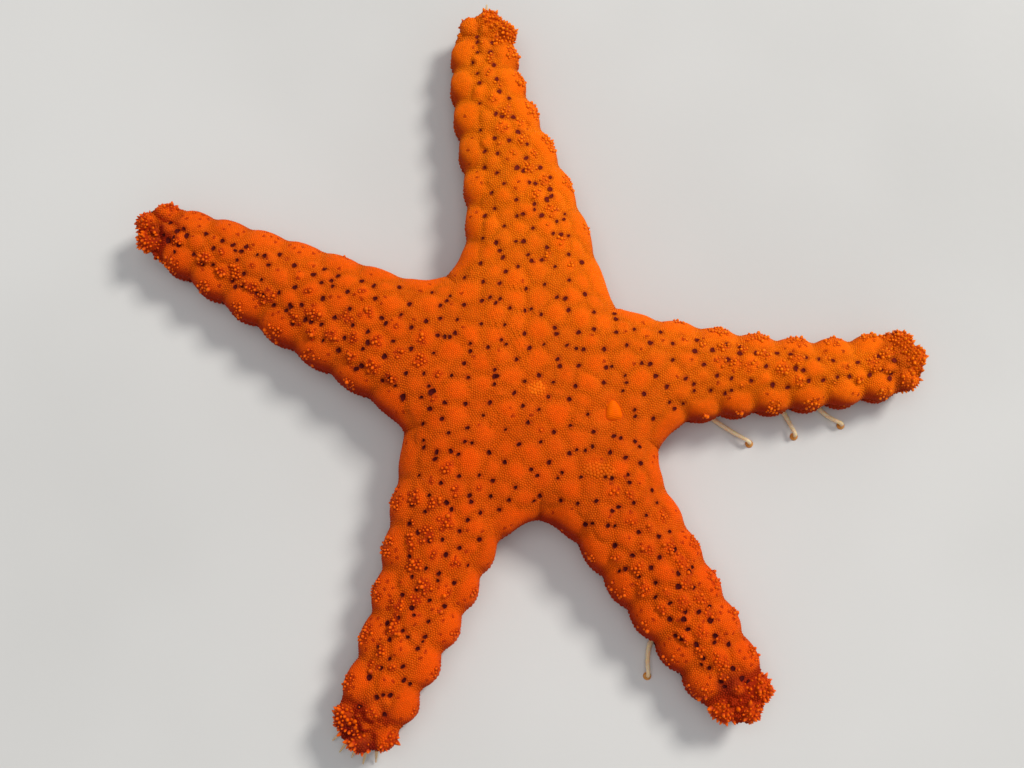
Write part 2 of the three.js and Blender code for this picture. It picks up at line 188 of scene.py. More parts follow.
# letter: the share of the arm's length from which it is knobbed in full
KNOBBED_FROM = {"a": 0.32, "b": 0.65, "c": 0.65, "d": 0.6, "e": 0.42}
KNOBBED_START = 0.08  # the share from which that grows
LEAST_KNOBBED = 0.08  # what it grows from
KNOBBED_ACROSS = (-2, 2)  # from the right to the left of the middle line, where the sides' values meet
KNOB_RADIUS = (0.11, 0.24)  # the least and the greatest
TIP_KNOB_RADIUS = (0.12, 0.29)
TIP_KNOB_REACH = 5.2  # the length from the seam up to the highest places for tip knobs
TIP_KNOB_ARCS = (0.4, 2.2, 2.6)  # up to the lowest, to the highest, and the more on a knobbed arm
TIP_KNOB_SHARE = (0.08, 0.65)  # of their places that hold one, and the more on a knobbed arm
IN_A_GAP = 0.3  # how often one stands in a gap, for each on a lump
LARGER_KNOBS = (0.12, 1.35)  # the share of the knobs that are larger, and how many times
CLUSTER_RADIUS = 1.5  # where the plates are knobbed in full
CLUSTERS_VARY = (0.5, 1.25)  # times that
LARGEST_CLUSTER = 1.35
KNOB_HEIGHTS_VARY = (0.75, 1.25)
KNOB_TILT = 0.2
BARE_SHARE = (0.75, 0.0)  # of the plates that have none, where they aren't knobbed and where they are
CLUSTER_SHARE = 0.52  # of the places in a cluster that hold a knob
SHADOW_SHIFT = 0.25  # from a knob out to the painted shadow beside it
FRECKLE_PITCH = 0.95  # of the places for freckles
FRECKLE_SHARE = (0.08, 0.42)  # of those that hold one, on the disc and at the tip
FRECKLE_ALONG = (6, 30)  # lengths from the centre over which that grows
FRECKLE_ARC = 1.5  # the least length from the seam up to a freckle
FRECKLE_LEVEL = 0.3  # and its least level on the plate

# letter: how deep the red is between the lumps at the end of the arm, on its lower left and its upper right:
# the end's own deep red, with painted shade that is deeper on the lower left, turned from the light
END_RED_AND_SHADE = {"a": (0.95, 0.3), "b": (0.2, 0.2), "c": (0.5, 0.4), "d": (0.9, 0.85), "e": (0.95, 0.25)}
# letter: how deep the painted shadow and deep red are between the knobs of the arm
KNOB_RED_AND_SHADOW = {"a": 0.85, "b": 0.3, "c": 0.4, "d": 0.4, "e": 0.8}
KNOB_RED_AND_SHADOW_SPAN = (0.14, 0.5)  # from a painted shadow beside a knob, or from a knob at a tip, to where the shadow and red fade, and to where they end
SEAM_RED_AND_SHADE = (0.55, 0.92)  # how deep the red by the seam is, on the upper right and on the lower left: the lower plates' own deeper red, with painted shade added on the lower left, which is turned from the light
SEAM_RED_AND_SHADE_ABOVE = ((0.6, 2.2), (2.9, 4.9))  # lengths up to where it fades and ends, on the same two sides; the painted shade reaches further up on the lower left
SEAM_RED_AND_SHADE_BELOW = (1.6, 3.6)  # and the lengths down to where it fades and ends
RED_AND_SHADE_END = (0.9, 1.0)  # shares of the arm over which the red and painted shade of its end come in
LUMP_CLEAR = 0.85  # how far the crowns of the lumps are clear of it
FRECKLE_RED = 0.75
FRECKLE_SPAN = (0.13, 0.27)  # the same from the middle of a freckle
# directions seen from above: away from the painted shade of the margins, towards the yellow and the painted
# light, away from the painted shade of the ends
FROM_SEAM_SHADE = (0.42, 0.91)
TO_YELLOW_AND_LIGHT = (0.45, 0.9)
FROM_END_SHADE = (0.75, 0.66)
YELLOW_AND_LIGHT_SPAN = (-12, 30)  # from the centre towards the yellow and the painted light: where it starts, and where it is full
RIM_SHADE_DEPTH = 0.3  # of the painted shade in a ring round a pore
RIM_SHADE_SPAN = (0.05, 0.4)  # the same from the rim of the pore
PATCH_FADE = (0.3, 1.15)  # over these shares of its radius a dark patch ends
PATCH_FROM = 1.2  # height above which it lies
# dark patches at the ends of the arms, partly their own dark spots and partly painted shade: centre, radius
# and depth
DARK_AND_SHADED_PATCHES = [
    ((-3.8, 46.5), 0.9, 0.55),
    ((-45.3, 19.5), 1.5, 0.5),
    ((21.8, -33.3), 1.6, 0.55),
    ((-21.4, -38.3), 2.3, 0.8),
    ((-19.2, -40.4), 1.7, 0.8),
    ((44.6, 1.6), 1.3, 0.4),
]
LARGE_PORE_CLEAR = 0.8  # from its middle to the nearest other pore
# the largest pores, in the hollows by the root of arm a: place and radius
LARGE_PORES = [
    ((-16.2, -0.3), 0.36),
    ((-15.5, -0.65), 0.42),
    ((-12.7, -0.55), 0.34),
    ((-12.1, -0.25), 0.38),
]


# ---------------------------------------------------------------- helpers


def unit(vectors):
    return vectors / np.linalg.norm(vectors, axis=-1, keepdims=True)


def how_far(points, places):
    return np.linalg.norm(points - places, axis=-1)


def left_of(directions):
    return np.stack([-directions[..., 1], directions[..., 0]], axis=-1)


def polar(bearing, radius):
    angle = math.radians(bearing)
    return radius * np.array([math.cos(angle), math.sin(angle)])


def between(pair, share):
    return pair[0] + (pair[1] - pair[0]) * np.clip(share, 0, 1)


def smooth(values, low=0.0, high=1.0):
    share = np.clip((values - low) / (high - low), 0, 1)
    return share * share * (3 - 2 * share)


def fading(values, low, high):
    """1 up to the low value, falling to 0 at the high one."""
    return 1 - smooth(values, low, high)


def per_arm(table, numbers):
    """The table's entry for each of the arm numbers."""
    return np.array([table[letter] for letter in ARMS])[numbers]


# ---------------------------------------------------------------- lines of the arms


class Arm:
    """The middle line of an arm and its two margins. Side 1 is its left and side -1 its right."""

    def __init__(self, number, letter, bearing, reach, sway, belly, end, plates, crowding, swell):
        self.number = number
        self.letter = letter
        self.reach = reach
        self.belly = belly
        self.end = end
        self.plates = plates
        self.crowding = crowding
        self.swell = {1: swell[0], -1: swell[1]}
        self.end_at = reach - END_LENGTH
        self.forward = polar(bearing, 1)
        self.left = left_of(self.forward)
        lengths = np.array([0, *SWAY_AT, 1]) * reach
        self.bend = np.polyfit(lengths, [0, *sway, 0], 4)
        self.margins = {-1: self.margin(-1, AXILS[number]), 1: self.margin(1, AXILS[number - 1])}

    def middle(self, length):
        length = np.asarray(length, float)[..., None]
        return length * self.forward + np.polyval(self.bend, length) * self.left

    def heading(self, length):
        slope = np.polyval(np.polyder(self.bend), np.asarray(length, float))[..., None]
        return unit(self.forward + slope * self.left)

    def margin(self, side, axil):
        corner = polar(*axil)
        start = axil[1]
        for _ in range(10):
            start += (corner - self.middle(start)) @ self.heading(start)
        forward = self.heading(start)
        left = left_of(forward)
        across = side * (corner - self.middle(start)) @ left
        closing = side * (corner @ forward) / (corner @ left)
        run = self.end_at - start
        fillet = (closing + (self.end - across + 4 * self.belly) / run) / (1 / FILLET_FADE - 1 / run)
        return start, run, fillet, across - fillet

    def edge(self, side, length):
        start, run, fillet, base = self.margins[side]
        share = (length - start) / run
        half_width = base + (self.end - base) * share + 4 * self.belly * share * (1 - share)
        half_width = half_width + fillet * np.exp((start - length) / FILLET_FADE)
        return self.middle(length) + left_of(self.heading(length)) * (side * half_width)[..., None]

    def spaced(self, count):
        return count * (1 + self.crowding * (1 - count))

    def inner_length(self, count):
        abreast = FAN_START + (self.end_at - FAN_START) * self.spaced(count)
        return abreast - FAN_START * np.exp((FAN_START - abreast) / FAN_FADE)

    def ridge(self, length):
        return between(BACK_HEIGHT, (length / self.end_at) ** BACK_FALL)

    def roof(self, length):
        roof = between(GROOVE_HEIGHT, length / self.end_at)
        return MOUTH_HEIGHT + (roof - MOUTH_HEIGHT) * smooth(length, 0, MOUTH_RADIUS)


arms = [Arm(number, letter, *values) for number, (letter, values) in enumerate(ARMS.items())]
arm_of = {arm.letter: arm for arm in arms}


# ---------------------------------------------------------------- the body as a loft


def plate_rows(arm, first):
    """The rows of the ribs at one place of each marginal plate, on the right and on the left in turn."""
    last = 2 * arm.plates * STATIONS_PER_PLATE + END_STATIONS
    rows = first + STATIONS_PER_PLATE * np.arange(arm.plates)
    return np.column_stack([rows, last - rows]).ravel()


def side_stations(arm, side, count):
    """Stations of one margin, from the crotch to the rounded end. count: of the way, by plates."""
    start, run, _, _ = arm.margins[side]
    share = arm.spaced(count)
    length = start + run * share
    step = 0.05
    tangent = unit(arm.edge(side, length + step) - arm.edge(side, length - step))
    phase = count * arm.plates % 1
    # 0 in the furrows and 1 on the plates, blunter than a wave
    raised = 0.55 * (1 - np.abs(2 * phase - 1) ** 2.4) + 0.45 * (0.5 - 0.5 * np.cos(2 * np.pi * phase))
    point = arm.edge(side, length)
    outward = np.where(count[:, None] > 0, left_of(tangent) * side, unit(point))
    return {
        "point": point,
        "outward": outward,
        "inner": arm.inner_length(count),
        "share": share,
        "raised": raised,
        "swell": between(PLATE_SWELL, share) * arm.swell[side],
        "lift": np.zeros_like(count),
        "ahead": np.zeros_like(count),
        "aside": np.full_like(count, side),
    }


def end_stations(arm, turn):
    """Stations of the rounded end. turn: 90 degrees on the arm's left to -90 on its right, in radians."""
    forward = arm.heading(arm.end_at)
    left = left_of(forward)
    ahead = np.cos(turn)[:, None]
    aside = np.sin(turn)[:, None]
    ones = np.ones_like(turn)
    centre = arm.middle(arm.end_at)
    return {
        "point": centre + END_LENGTH * ahead * forward + arm.end * aside * left,
        "outward": unit(ahead / END_LENGTH * forward + aside / arm.end * left),
        "inner": arm.inner_length(ones),
        "share": ones,
        "raised": ones,
        "swell": 0 * ones,
        "lift": END_LIFT * np.cos(turn),
        "ahead": np.cos(turn),
        "aside": np.sin(turn),
    }


def shared_ribs(arm):
    """The first and the last rib: its row, its side of this arm, and the arm that shares it."""
    return [(row, side, arms[(arm.number - side) % len(arms)]) for row, side in ((0, -1), (-1, 1))]


def arm_stations(arm):
    """All the stations of an arm, anticlockwise from crotch to crotch."""
    steps = arm.plates * STATIONS_PER_PLATE
    count = np.arange(steps) / steps
    turn = np.linspace(-np.pi / 2, np.pi / 2, END_STATIONS + 1)
    runs = [side_stations(arm, -1, count), end_stations(arm, turn), side_stations(arm, 1, count[::-1])]
    stations = {key: np.concatenate([run[key] for run in runs]) for key in runs[0]}
    for row, side, other in shared_ribs(arm):
        stations["swell"][row] = PLATE_SWELL[0] * (arm.swell[side] + other.swell[-side]) / 2
    return stations


def resample(lines, count):
    """Polylines (n, points, 3) with count points evenly along each, and the length along each."""
    steps = np.linalg.norm(np.diff(lines, axis=1), axis=2)
    lengths = np.concatenate([np.zeros((len(lines), 1)), np.cumsum(steps, axis=1)], axis=1)
    at = np.linspace(0, 1, count)[None] * lengths[:, -1:]
    evened = np.empty((len(lines), count, 3))
    for i, line in enumerate(lines):
        for axis in range(3):
            evened[i, :, axis] = np.interp(at[i], lengths[i], line[:, axis])
    return evened, at


@cache
def arm_sheets(arm):
    """The arm's top and underside, from the seam in to the middle line.

    Each is a grid of points, their lengths from the seam, places on the unwrap and shares of the arm.
    """
    s = arm_stations(arm)
    rim = s["point"] + s["outward"] * (s["swell"] * (s["raised"] - 0.5))[:, None]
    core = arm.middle(s["inner"])
    rib = how_far(core, rim)
    inward = (core - rim) / rib[:, None]
    seam = between(SEAM_HEIGHT, s["share"]) + s["lift"] / 2
    upper = seam + UPPER_PLATE
    ridge = arm.ridge(s["inner"])
    roof = arm.roof(s["inner"])
    skew = np.abs((left_of(arm.heading(s["inner"])) * inward).sum(1))
    skew = np.where(s["share"] < 1, skew, 1)
    for row, _, other in shared_ribs(arm):
        skew[row] = (skew[row] + abs(left_of(other.heading(0)) @ inward[row])) / 2
    narrow = np.minimum(rib / PAD_SPAN, 1)
    ground = s["lift"] + (1 - s["raised"]) * FURROW_HEIGHT

    def at(distance, height):
        return np.column_stack([rim + inward * distance[:, None], height])

    shares = 1 - np.cos(np.linspace(0, np.pi / 2, BACK_STEPS))
    back = []
    for share in shares:
        distance = share * rib
        turn = 1 - np.minimum(distance / np.minimum(rib, SHOULDER_SPAN), 1)
        rise = SHOULDER_SHARE * np.sqrt(1 - turn * turn) + (1 - SHOULDER_SHARE) * smooth(share)
        swell = np.interp(share, *BACK_SWELL) * (s["raised"] - 0.5)
        back.append(at(distance, upper + (ridge - upper) * rise + swell))
    inset = np.full_like(rib, SEAM_INSET)
    top = np.stack([at(inset, seam), *back], axis=1)

    keel = np.maximum(seam - LOWER_PLATE, ground + KEEL)
    knots = np.stack(
        [
            at(inset, seam),
            at(inset / 3, keel),
            at(PAD[0] * narrow, ground),
            at(PAD[1] * narrow, ground),
            at(PAD[2] * narrow, UNDERSIDE_HEIGHT + s["lift"]),
            at(rib - GROOVE_LIP / skew, UNDERSIDE_HEIGHT + s["lift"]),
            at(rib - GROOVE_WALL / skew, roof - GROOVE_EAVES),
            at(rib, roof),
        ],
        axis=1,
    )
    under, _ = resample(knots, UNDER_STEPS)
    for _ in range(ROUNDINGS):
        under[:, 1:-1] = (under[:, :-2] + 2 * under[:, 1:-1] + under[:, 2:]) / 4

    sheets = []
    for line, count in ((top, TOP_POINTS), (under, UNDER_POINTS)):
        grid, arc = resample(line, count)
        from_core = arc[:, -1:] - arc
        along = s["inner"][:, None] + from_core * s["ahead"][:, None]
        unwrapped = np.stack([along, from_core * s["aside"][:, None]], axis=2)
        share = np.repeat(s["share"][:, None], count, axis=1)
        sheets.append((grid, arc, unwrapped, share))
    return sheets


def on_rib(arm, sheet, row, length):
    """The point of a rib at this length from the seam. sheet: 0 for the top and 1 for the underside."""
    grid, lengths = arm_sheets(arm)[sheet][:2]
    return grid[row, np.abs(lengths[row] - length).argmin()]


ARC, SHARE = 2, 3


class Surface:
    """Triangles, with four values at each corner.

    They are its place on the unwrap (two), its length from the seam (ARC) and its share of the arm (SHARE).
    """

    def __init__(self, points, triangles, corners, arm, top):
        self.points = points
        self.triangles = triangles
        self.corners = corners  # (faces, 3, values)
        self.arm = arm
        self.top = top
        edges = points[triangles]
        self.cross = np.cross(edges[:, 1] - edges[:, 0], edges[:, 2] - edges[:, 0])
        self.area = np.linalg.norm(self.cross, axis=1) / 2
        self.normals = np.zeros_like(points)
        for corner in range(3):
            np.add.at(self.normals, triangles[:, corner], self.cross)
        self.normals = unit(self.normals)

    def tree(self):
        return BVHTree.FromPolygons(self.points.tolist(), self.triangles.tolist(), all_triangles=True)

    def part(self, chosen):
        kept = [values[chosen] for values in (self.triangles, self.corners, self.arm, self.top)]
        return Surface(self.points, *kept)

    def moved(self, points):
        return Surface(points, self.triangles, self.corners, self.arm, self.top)


def body_surface():
    points, corners, triangles, arm_numbers, tops = [], [], [], [], []
    offset = 0
    for arm in arms:
        for top, (grid, arc, unwrapped, share) in zip((True, False), arm_sheets(arm)):
            rows, columns = arc.shape
            number = offset + np.arange(rows * columns).reshape(rows, columns)
            here, over = number[:-1, :-1], number[:-1, 1:]
            following, beyond = number[1:, :-1], number[1:, 1:]
            halves = [(here, following, beyond), (here, beyond, over)]
            faces = np.concatenate([np.stack([c.ravel() for c in half], axis=1) for half in halves])
            triangles.append(faces if top else faces[:, ::-1])
            arm_numbers.append(np.full(len(faces), arm.number))
            tops.append(np.full(len(faces), top))
            points.append(grid.reshape(-1, 3))
            values = np.concatenate([unwrapped, arc[..., None], share[..., None]], axis=2)
            corners.append(values.reshape(-1, 4))
            offset += rows * columns
    points = np.concatenate(points)
    corners = np.concatenate(corners)
    triangles = np.concatenate(triangles)
    # points that agree to 0.01 mm become one
    _, first, number = np.unique(np.round(points, 2) + 0.0, axis=0, return_index=True, return_inverse=True)
    number = number.ravel()
    merged = number[triangles]
    whole = (merged[:, 0] != merged[:, 1]) & (merged[:, 1] != merged[:, 2]) & (merged[:, 2] != merged[:, 0])
    arm_numbers = np.concatenate(arm_numbers)[whole]
    tops = np.concatenate(tops)[whole]
    return Surface(points[first], merged[whole], corners[triangles][whole], arm_numbers, tops)


# ---------------------------------------------------------------- spreading points


class Spots:
    """Points on a surface, each with its normal, face and the face's values there."""

    def __init__(self, surface, points, tree=None):
        tree = tree or surface.tree()
        found = [tree.find_nearest(p) for p in points.tolist()]
        self.points = np.array([f[0] for f in found]).reshape(-1, 3)
        self.face = np.array([f[2] for f in found], int)
        a, b, c = np.moveaxis(surface.points[surface.triangles[self.face]], 1, 0)
        across = surface.cross[self.face]
        size = (across**2).sum(1)
        second = (np.cross(self.points - a, c - a) * across).sum(1) / size
        third = (np.cross(b - a, self.points - a) * across).sum(1) / size
        weights = np.clip(np.stack([1 - second - third, second, third], axis=1), 0, 1)
        weights /= weights.sum(1, keepdims=True)
        corner_normals = surface.normals[surface.triangles[self.face]]
        self.normals = unit((corner_normals * weights[..., None]).sum(1))
        self.values = (surface.corners[self.face] * weights[..., None]).sum(1)
        self.arm = surface.arm[self.face]

    def chosen(self, keep):
        part = object.__new__(Spots)
        for key, value in vars(self).items():
            setattr(part, key, value[keep])
        return part

    def joined(self, others):
        whole = object.__new__(Spots)
        for key, value in vars(self).items():
            setattr(whole, key, np.concatenate([value, getattr(others, key)]))
        return whole

    @property
    def unwrapped(self):
        return self.values[:, :2]

    @property
    def arc(self):
        return self.values[:, ARC]

    @property
    def share(self):
        return self.values[:, SHARE]


def neighbours_of(points, others, count):
    tree = KDTree(len(others))
    for i, other in enumerate(others.tolist()):
        tree.insert(other, i)
    tree.balance()
    return np.array([[found[1] for found in tree.find_n(p, count)] for p in points.tolist()])


def distances_to(points, others):
    """How far each point is from the nearest of the others, and that one's number."""
    nearest = neighbours_of(points, others, 1)[:, 0]
    return how_far(points, others[nearest]), nearest


HEXAGON = 0.866  # of its pitch squared: the area for each point of an even pattern
NEIGHBOURS = 8
PUSH_FROM = 1.15  # of the wanted distance: where points start to push each other away
PUSH_STEP = 0.4


def spread(surface, pitch, rounds, seed, fixed=None):
    """Points evenly over a surface, clear of the fixed ones. pitch: a number, or one per face."""
    random = np.random.default_rng(seed)
    fixed = np.zeros((0, 3)) if fixed is None else fixed
    pitch = np.broadcast_to(pitch, len(surface.area))
    places = np.cumsum(surface.area / (HEXAGON * pitch**2))
    count = int(places[-1]) - len(fixed)
    at = (np.arange(count) + random.random(count)) * places[-1] / count
    face = np.searchsorted(places, at).clip(max=len(places) - 1)
    second, third = random.random((2, count, 1))
    folded = second + third > 1
    second, third = np.where(folded, 1 - second, second), np.where(folded, 1 - third, third)
    a, b, c = np.moveaxis(surface.points[surface.triangles[face]], 1, 0)
    points = a + second * (b - a) + third * (c - a)
    tree = surface.tree()
    for turn in range(rounds):
        everything = np.vstack([points, fixed])
        room = np.append(pitch[face], np.full(len(fixed), pitch.mean()))
        if turn % 2 == 0:
            neighbours = neighbours_of(points, everything, NEIGHBOURS)[:, 1:]
        away = points[:, None] - everything[neighbours]
        distance = np.linalg.norm(away, axis=2, keepdims=True) + 1e-6
        wanted = (room[:count, None] + room[neighbours])[..., None] / 2
        push = np.clip(1 - distance / (PUSH_FROM * wanted), 0, 1)
        step = (away / distance * push).sum(1) * room[:count, None] * PUSH_STEP
        found = [tree.find_nearest(p) for p in (points + step).tolist()]
        points = np.array([f[0] for f in found])
        face = np.array([f[2] for f in found])
    return Spots(surface, points, tree)


# ---------------------------------------------------------------- meshes


def make(name, points, triangles, material, slot, unwrap=None, **values):
    """A piece of the animal from triangles. values: a number per point, by attribute name."""
    mesh = bpy.data.meshes.new(name)
    mesh.vertices.add(len(points))
    placed = (points + [*DISC_CENTRE, 0]) * MM
    placed[:, 2] = np.maximum(placed[:, 2], 0)
    mesh.vertices.foreach_set("co", placed.astype(np.float32).ravel())
    mesh.loops.add(3 * len(triangles))
    mesh.loops.foreach_set("vertex_index", triangles.astype(np.int32).ravel())
    mesh.polygons.add(len(triangles))
    mesh.polygons.foreach_set("loop_start", np.arange(0, 3 * len(triangles), 3, dtype=np.int32))
    mesh.polygons.foreach_set("use_smooth", np.ones(len(triangles), bool))
    mesh.update(calc_edges=True)
    for key, numbers in values.items():
        layer = mesh.attributes.new(key, "FLOAT", "POINT")
        layer.data.foreach_set("value", np.ascontiguousarray(numbers, np.float32))
    if unwrap is not None:
        layer = mesh.uv_layers.new(name="OFBake")
        layer.data.foreach_set("uv", unwrap.astype(np.float32).ravel())
    mesh.materials.append(material)
    piece = bpy.data.objects.new(name, mesh)
    scene.collection.objects.link(piece)
    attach(piece, "root")
    return piece


def frames_of(normals, spin):
    """Two directions square to each normal and to each other, turned by spin."""
    helper = np.where(np.abs(normals[:, :1]) < 0.7, [[1.0, 0, 0]], [[0, 1.0, 0]])
    first = unit(np.cross(normals, helper))
    second = np.cross(normals, first)
    cos, sin = np.cos(spin)[:, None], np.sin(spin)[:, None]
    return first * cos + second * sin, second * cos - first * sin


def ring_faces(rings, sides):
    """Triangles between each ring of points and the next one."""
    faces = []
    for start in range(0, (rings - 1) * sides, sides):
        for i in range(sides):
            here, beside = start + i, start + (i + 1) % sides
            faces += [(here, beside, beside + sides), (here, beside + sides, here + sides)]
    return faces


def cap_faces(start, sides, apex):
    """Triangles from the ring that starts there to its apex."""
    return [(start + i, start + (i + 1) % sides, apex) for i in range(sides)]


def studs(roots, normals, radius, height, rings, sides, seed, ragged=0.0):
    """Round studs standing on their roots: rings of (share of radius, share of height), then a crown point.

    Returns the points, the triangles, and the points of one stud as shares of its radius and height.
    """
    random = np.random.default_rng(seed)
    count = len(roots)
    first, second = frames_of(normals, random.random(count) * 2 * np.pi)
    angles = np.arange(sides) * 2 * np.pi / sides
    circles = [(r * math.cos(t), r * math.sin(t), h) for r, h in rings for t in angles]
    flat = np.array([*circles, (0, 0, 1)])
    radius, height = np.broadcast_to(radius, count), np.broadcast_to(height, count)
    across = flat[None, :, :2] * radius[:, None, None]
    if ragged:
        uneven = 1 + ragged * random.uniform(-1, 1, (count, sides))
        uneven = np.concatenate([np.tile(uneven, len(rings)), np.ones((count, 1))], axis=1)
        across = across * uneven[..., None]
    up = flat[None, :, 2] * height[:, None]
    points = (
        roots[:, None]
        + across[..., :1] * first[:, None]
        + across[..., 1:] * second[:, None]
        + up[..., None] * normals[:, None]
    )
    crown = len(rings) * sides
    shape = np.array(ring_faces(len(rings), sides) + cap_faces(crown - sides, sides, crown))
    triangles = shape[None] + (np.arange(count) * len(flat))[:, None, None]
    return points.reshape(-1, 3), triangles.reshape(-1, 3), flat


MAP_MARGIN = 0.02  # shares of the map's side
STUD_ON_MAP = 0.0015


def stud_piece(name, spots, radius, height, rings, sides, seed, material, slot, ragged=0.0, **values):
    """A mesh of studs on the spots, with its OFBake map. values: a number per stud, by attribute name."""
    shape = studs(spots.points, spots.normals, radius, height, rings, sides, seed, ragged)
    points, triangles, flat = shape
    low, high = spots.unwrapped.min(0), spots.unwrapped.max(0)
    centre = MAP_MARGIN + (1 - 2 * MAP_MARGIN) * (spots.unwrapped - low) / (high - low)
    patch = centre[:, None] + STUD_ON_MAP * flat[None, :, :2]
    unwrap = patch.reshape(-1, 2)[triangles]
    crown = np.tile(np.clip(flat[:, 2], 0, 1), len(spots.points))
    repeated = {key: np.repeat(numbers, len(flat)) for key, numbers in values.items()}
    return make(name, points, triangles, material, slot, unwrap, crown=crown, **repeated)


def tube(path, radii, sides):
    """A closed tube along a path (points, 3) with a radius at each point."""
    path, radii = np.asarray(path, float), np.asarray(radii, float)
    tangent = unit(np.gradient(path, axis=0))
    helper = np.array([0.3, 0.5, 0.81])  # no path here runs that way
    first = unit(np.cross(tangent, helper))
    second = np.cross(tangent, first)
    angles = np.arange(sides) * 2 * np.pi / sides
    circle = np.cos(angles)[None, :, None] * first[:, None] + np.sin(angles)[None, :, None] * second[:, None]
    rings = path[:, None] + radii[:, None, None] * circle
    points = np.vstack([rings.reshape(-1, 3), path[:1], path[-1:]])
    foot, tip = len(points) - 2, len(points) - 1
    underneath = [(b, a, apex) for a, b, apex in cap_faces(0, sides, foot)]
    return points, np.array(ring_faces(len(path), sides) + underneath + cap_faces(foot - sides, sides, tip))


def joined(parts):
    """Several (points, triangles) as one."""
    points, triangles, offset = [], [], 0
    for some_points, some_triangles in parts:
        points.append(some_points)
        triangles.append(some_triangles + offset)
        offset += len(some_points)
    return np.vstack(points), np.vstack(triangles)


# ---------------------------------------------------------------- materials


class Look:
    """A node material with one Principled shader, and short calls for the nodes that feed it."""

    def __init__(self, name, roughness, specular):
        self.material = bpy.data.materials.new(name)
        self.material.use_nodes = True
        self.tree = self.material.node_tree
        self.shader = self.tree.nodes["Principled BSDF"]
        self.shader.inputs["Roughness"].default_value = roughness
        self.shader.inputs["Specular IOR Level"].default_value = specular

    def link(self, value, socket):
        if isinstance(value, bpy.types.NodeSocket):
            self.tree.links.new(value, socket)
        elif isinstance(value, tuple):
            socket.default_value = (*value, 1)
        else:
            socket.default_value = value

    def node(self, kind, inputs, output, **settings):
        """An output of a new node. inputs: what feeds each, which is an output, a colour or a number."""
        node = self.tree.nodes.new("ShaderNode" + kind)
        for key, value in settings.items():
            setattr(node, key, value)
        for key, value in inputs.items():
            self.link(value, node.inputs[key])
        return node.outputs[output]

    def attribute(self, name):
        return self.node("Attribute", {}, "Fac", attribute_name=name)

    def noise(self, scale, detail=2):
        """Noise with features about 1/scale metres across, in the object's own coordinates."""
        place = self.node("TexCoord", {}, "Object")
        return self.node("TexNoise", {"Vector": place, "Scale": scale, "Detail": detail}, "Fac")

    def map(self, value, low, high, to_low=0.0, to_high=1.0):
        inputs = {"Value": value, "From Min": low, "From Max": high, "To Min": to_low, "To Max": to_high}
        return self.node("MapRange", inputs, "Result", interpolation_type="SMOOTHSTEP")

    def scaled(self, value, factor):
        return self.node("Math", {0: value, 1: factor}, 0, operation="MULTIPLY")

    def mix(self, share, first, second, blend="MIX"):
        inputs = {"Factor": share, 6: first, 7: second}
        return self.node("Mix", inputs, 2, data_type="RGBA", blend_type=blend)

    def brighter(self, colour, value):
        return self.node("HueSaturation", {"Color": colour, "Value": value}, "Color")

    def finished(self, colour, grain, roughness, depth, strength):
        """The material in this colour, with a bump this deep in millimetres from its grain.

        roughness: an output, or the two values between which it follows the grain.
        """
        if isinstance(roughness, tuple):
            roughness = self.map(grain, 0.3, 0.7, *roughness)
        bump = self.node("Bump", {"Height": grain, "Distance": depth * MM, "Strength": strength}, "Normal")
        for key, value in (("Base Color", colour), ("Roughness", roughness), ("Normal", bump)):
            self.link(value, self.shader.inputs[key])
        return self.material


PLATE_COLOUR = (0.80, 0.103, 0.0)
GAP_COLOUR = (0.63, 0.102, 0.0)
PATCH_COLOUR = (0.78, 0.140, 0.003)
PALE_COLOUR = (0.88, 0.19, 0.003)
# the skin's own darker colour with painted shade, in the grooves round the granules and at their feet
PLATE_GROOVE_SHADE = (0.65, 0.068, 0.0)
GAP_GROOVE_SHADE = (0.55, 0.063, 0.0)
# deep red of the seam, the ends and the freckles, with painted shade on the sides turned from the light and
# painted shadow beside the knobs
DEEP_RED_AND_SHADE_COLOUR = (0.30, 0.011, 0.001)
# painted shade round the pores, and dark patches at the ends of the arms that are partly painted shade
RIM_SHADE_AND_PATCH_COLOUR = (0.16, 0.005, 0.003)
KNOB_COLOUR = (0.85, 0.140, 0.0)
SPINE_COLOUR = (0.90, 0.30, 0.06)
BEAD_FOOT_SHADE_COLOUR = (0.42, 0.03, 0.004)  # painted shade round the foot of a knob or spine
PORE_COLOURS = ((0.035, 0.002, 0.003), (0.085, 0.006, 0.006))
# pores lighter towards the upper right: painted light
LIT_PORE_COLOUR = (0.17, 0.014, 0.010)
FURROW_SHADE_COLOUR = (0.80, 0.095, 0.0)  # painted shade between the crests of the madreporite
CREST_COLOURS = ((0.95, 0.135, 0.0), (0.97, 0.165, 0.0))
SUCKER_COLOUR = (0.78, 0.30, 0.06)
REACHING_FOOT_COLOURS = ((0.93, 0.76, 0.48), (0.86, 0.56, 0.26))
GROOVE_FOOT_COLOURS = ((0.80, 0.42, 0.14), (0.62, 0.26, 0.06))
FILAMENT_COLOURS = ((0.66, 0.47, 0.27), (0.60, 0.36, 0.16))
FLOOR_COLOURS = ((0.60, 0.595, 0.58), (0.66, 0.655, 0.64))
LOWER_LEFT_TINT = (1.02, 0.88, 1.0)  # of the whole animal at its lower left, and at its upper right, where it is yellower and brighter: partly its own lean to yellow, partly painted light
UPPER_RIGHT_LIT_TINT = (1.22, 1.62, 1.0)


def leaning(look, colour):
    """The colour with its lean from red to yellow, yellower and brighter towards the upper right: partly the
    animal's own lean, partly painted light.
    """
    return look.mix(1.0, colour, look.mix(look.attribute("warm"), LOWER_LEFT_TINT, UPPER_RIGHT_LIT_TINT), "MULTIPLY")


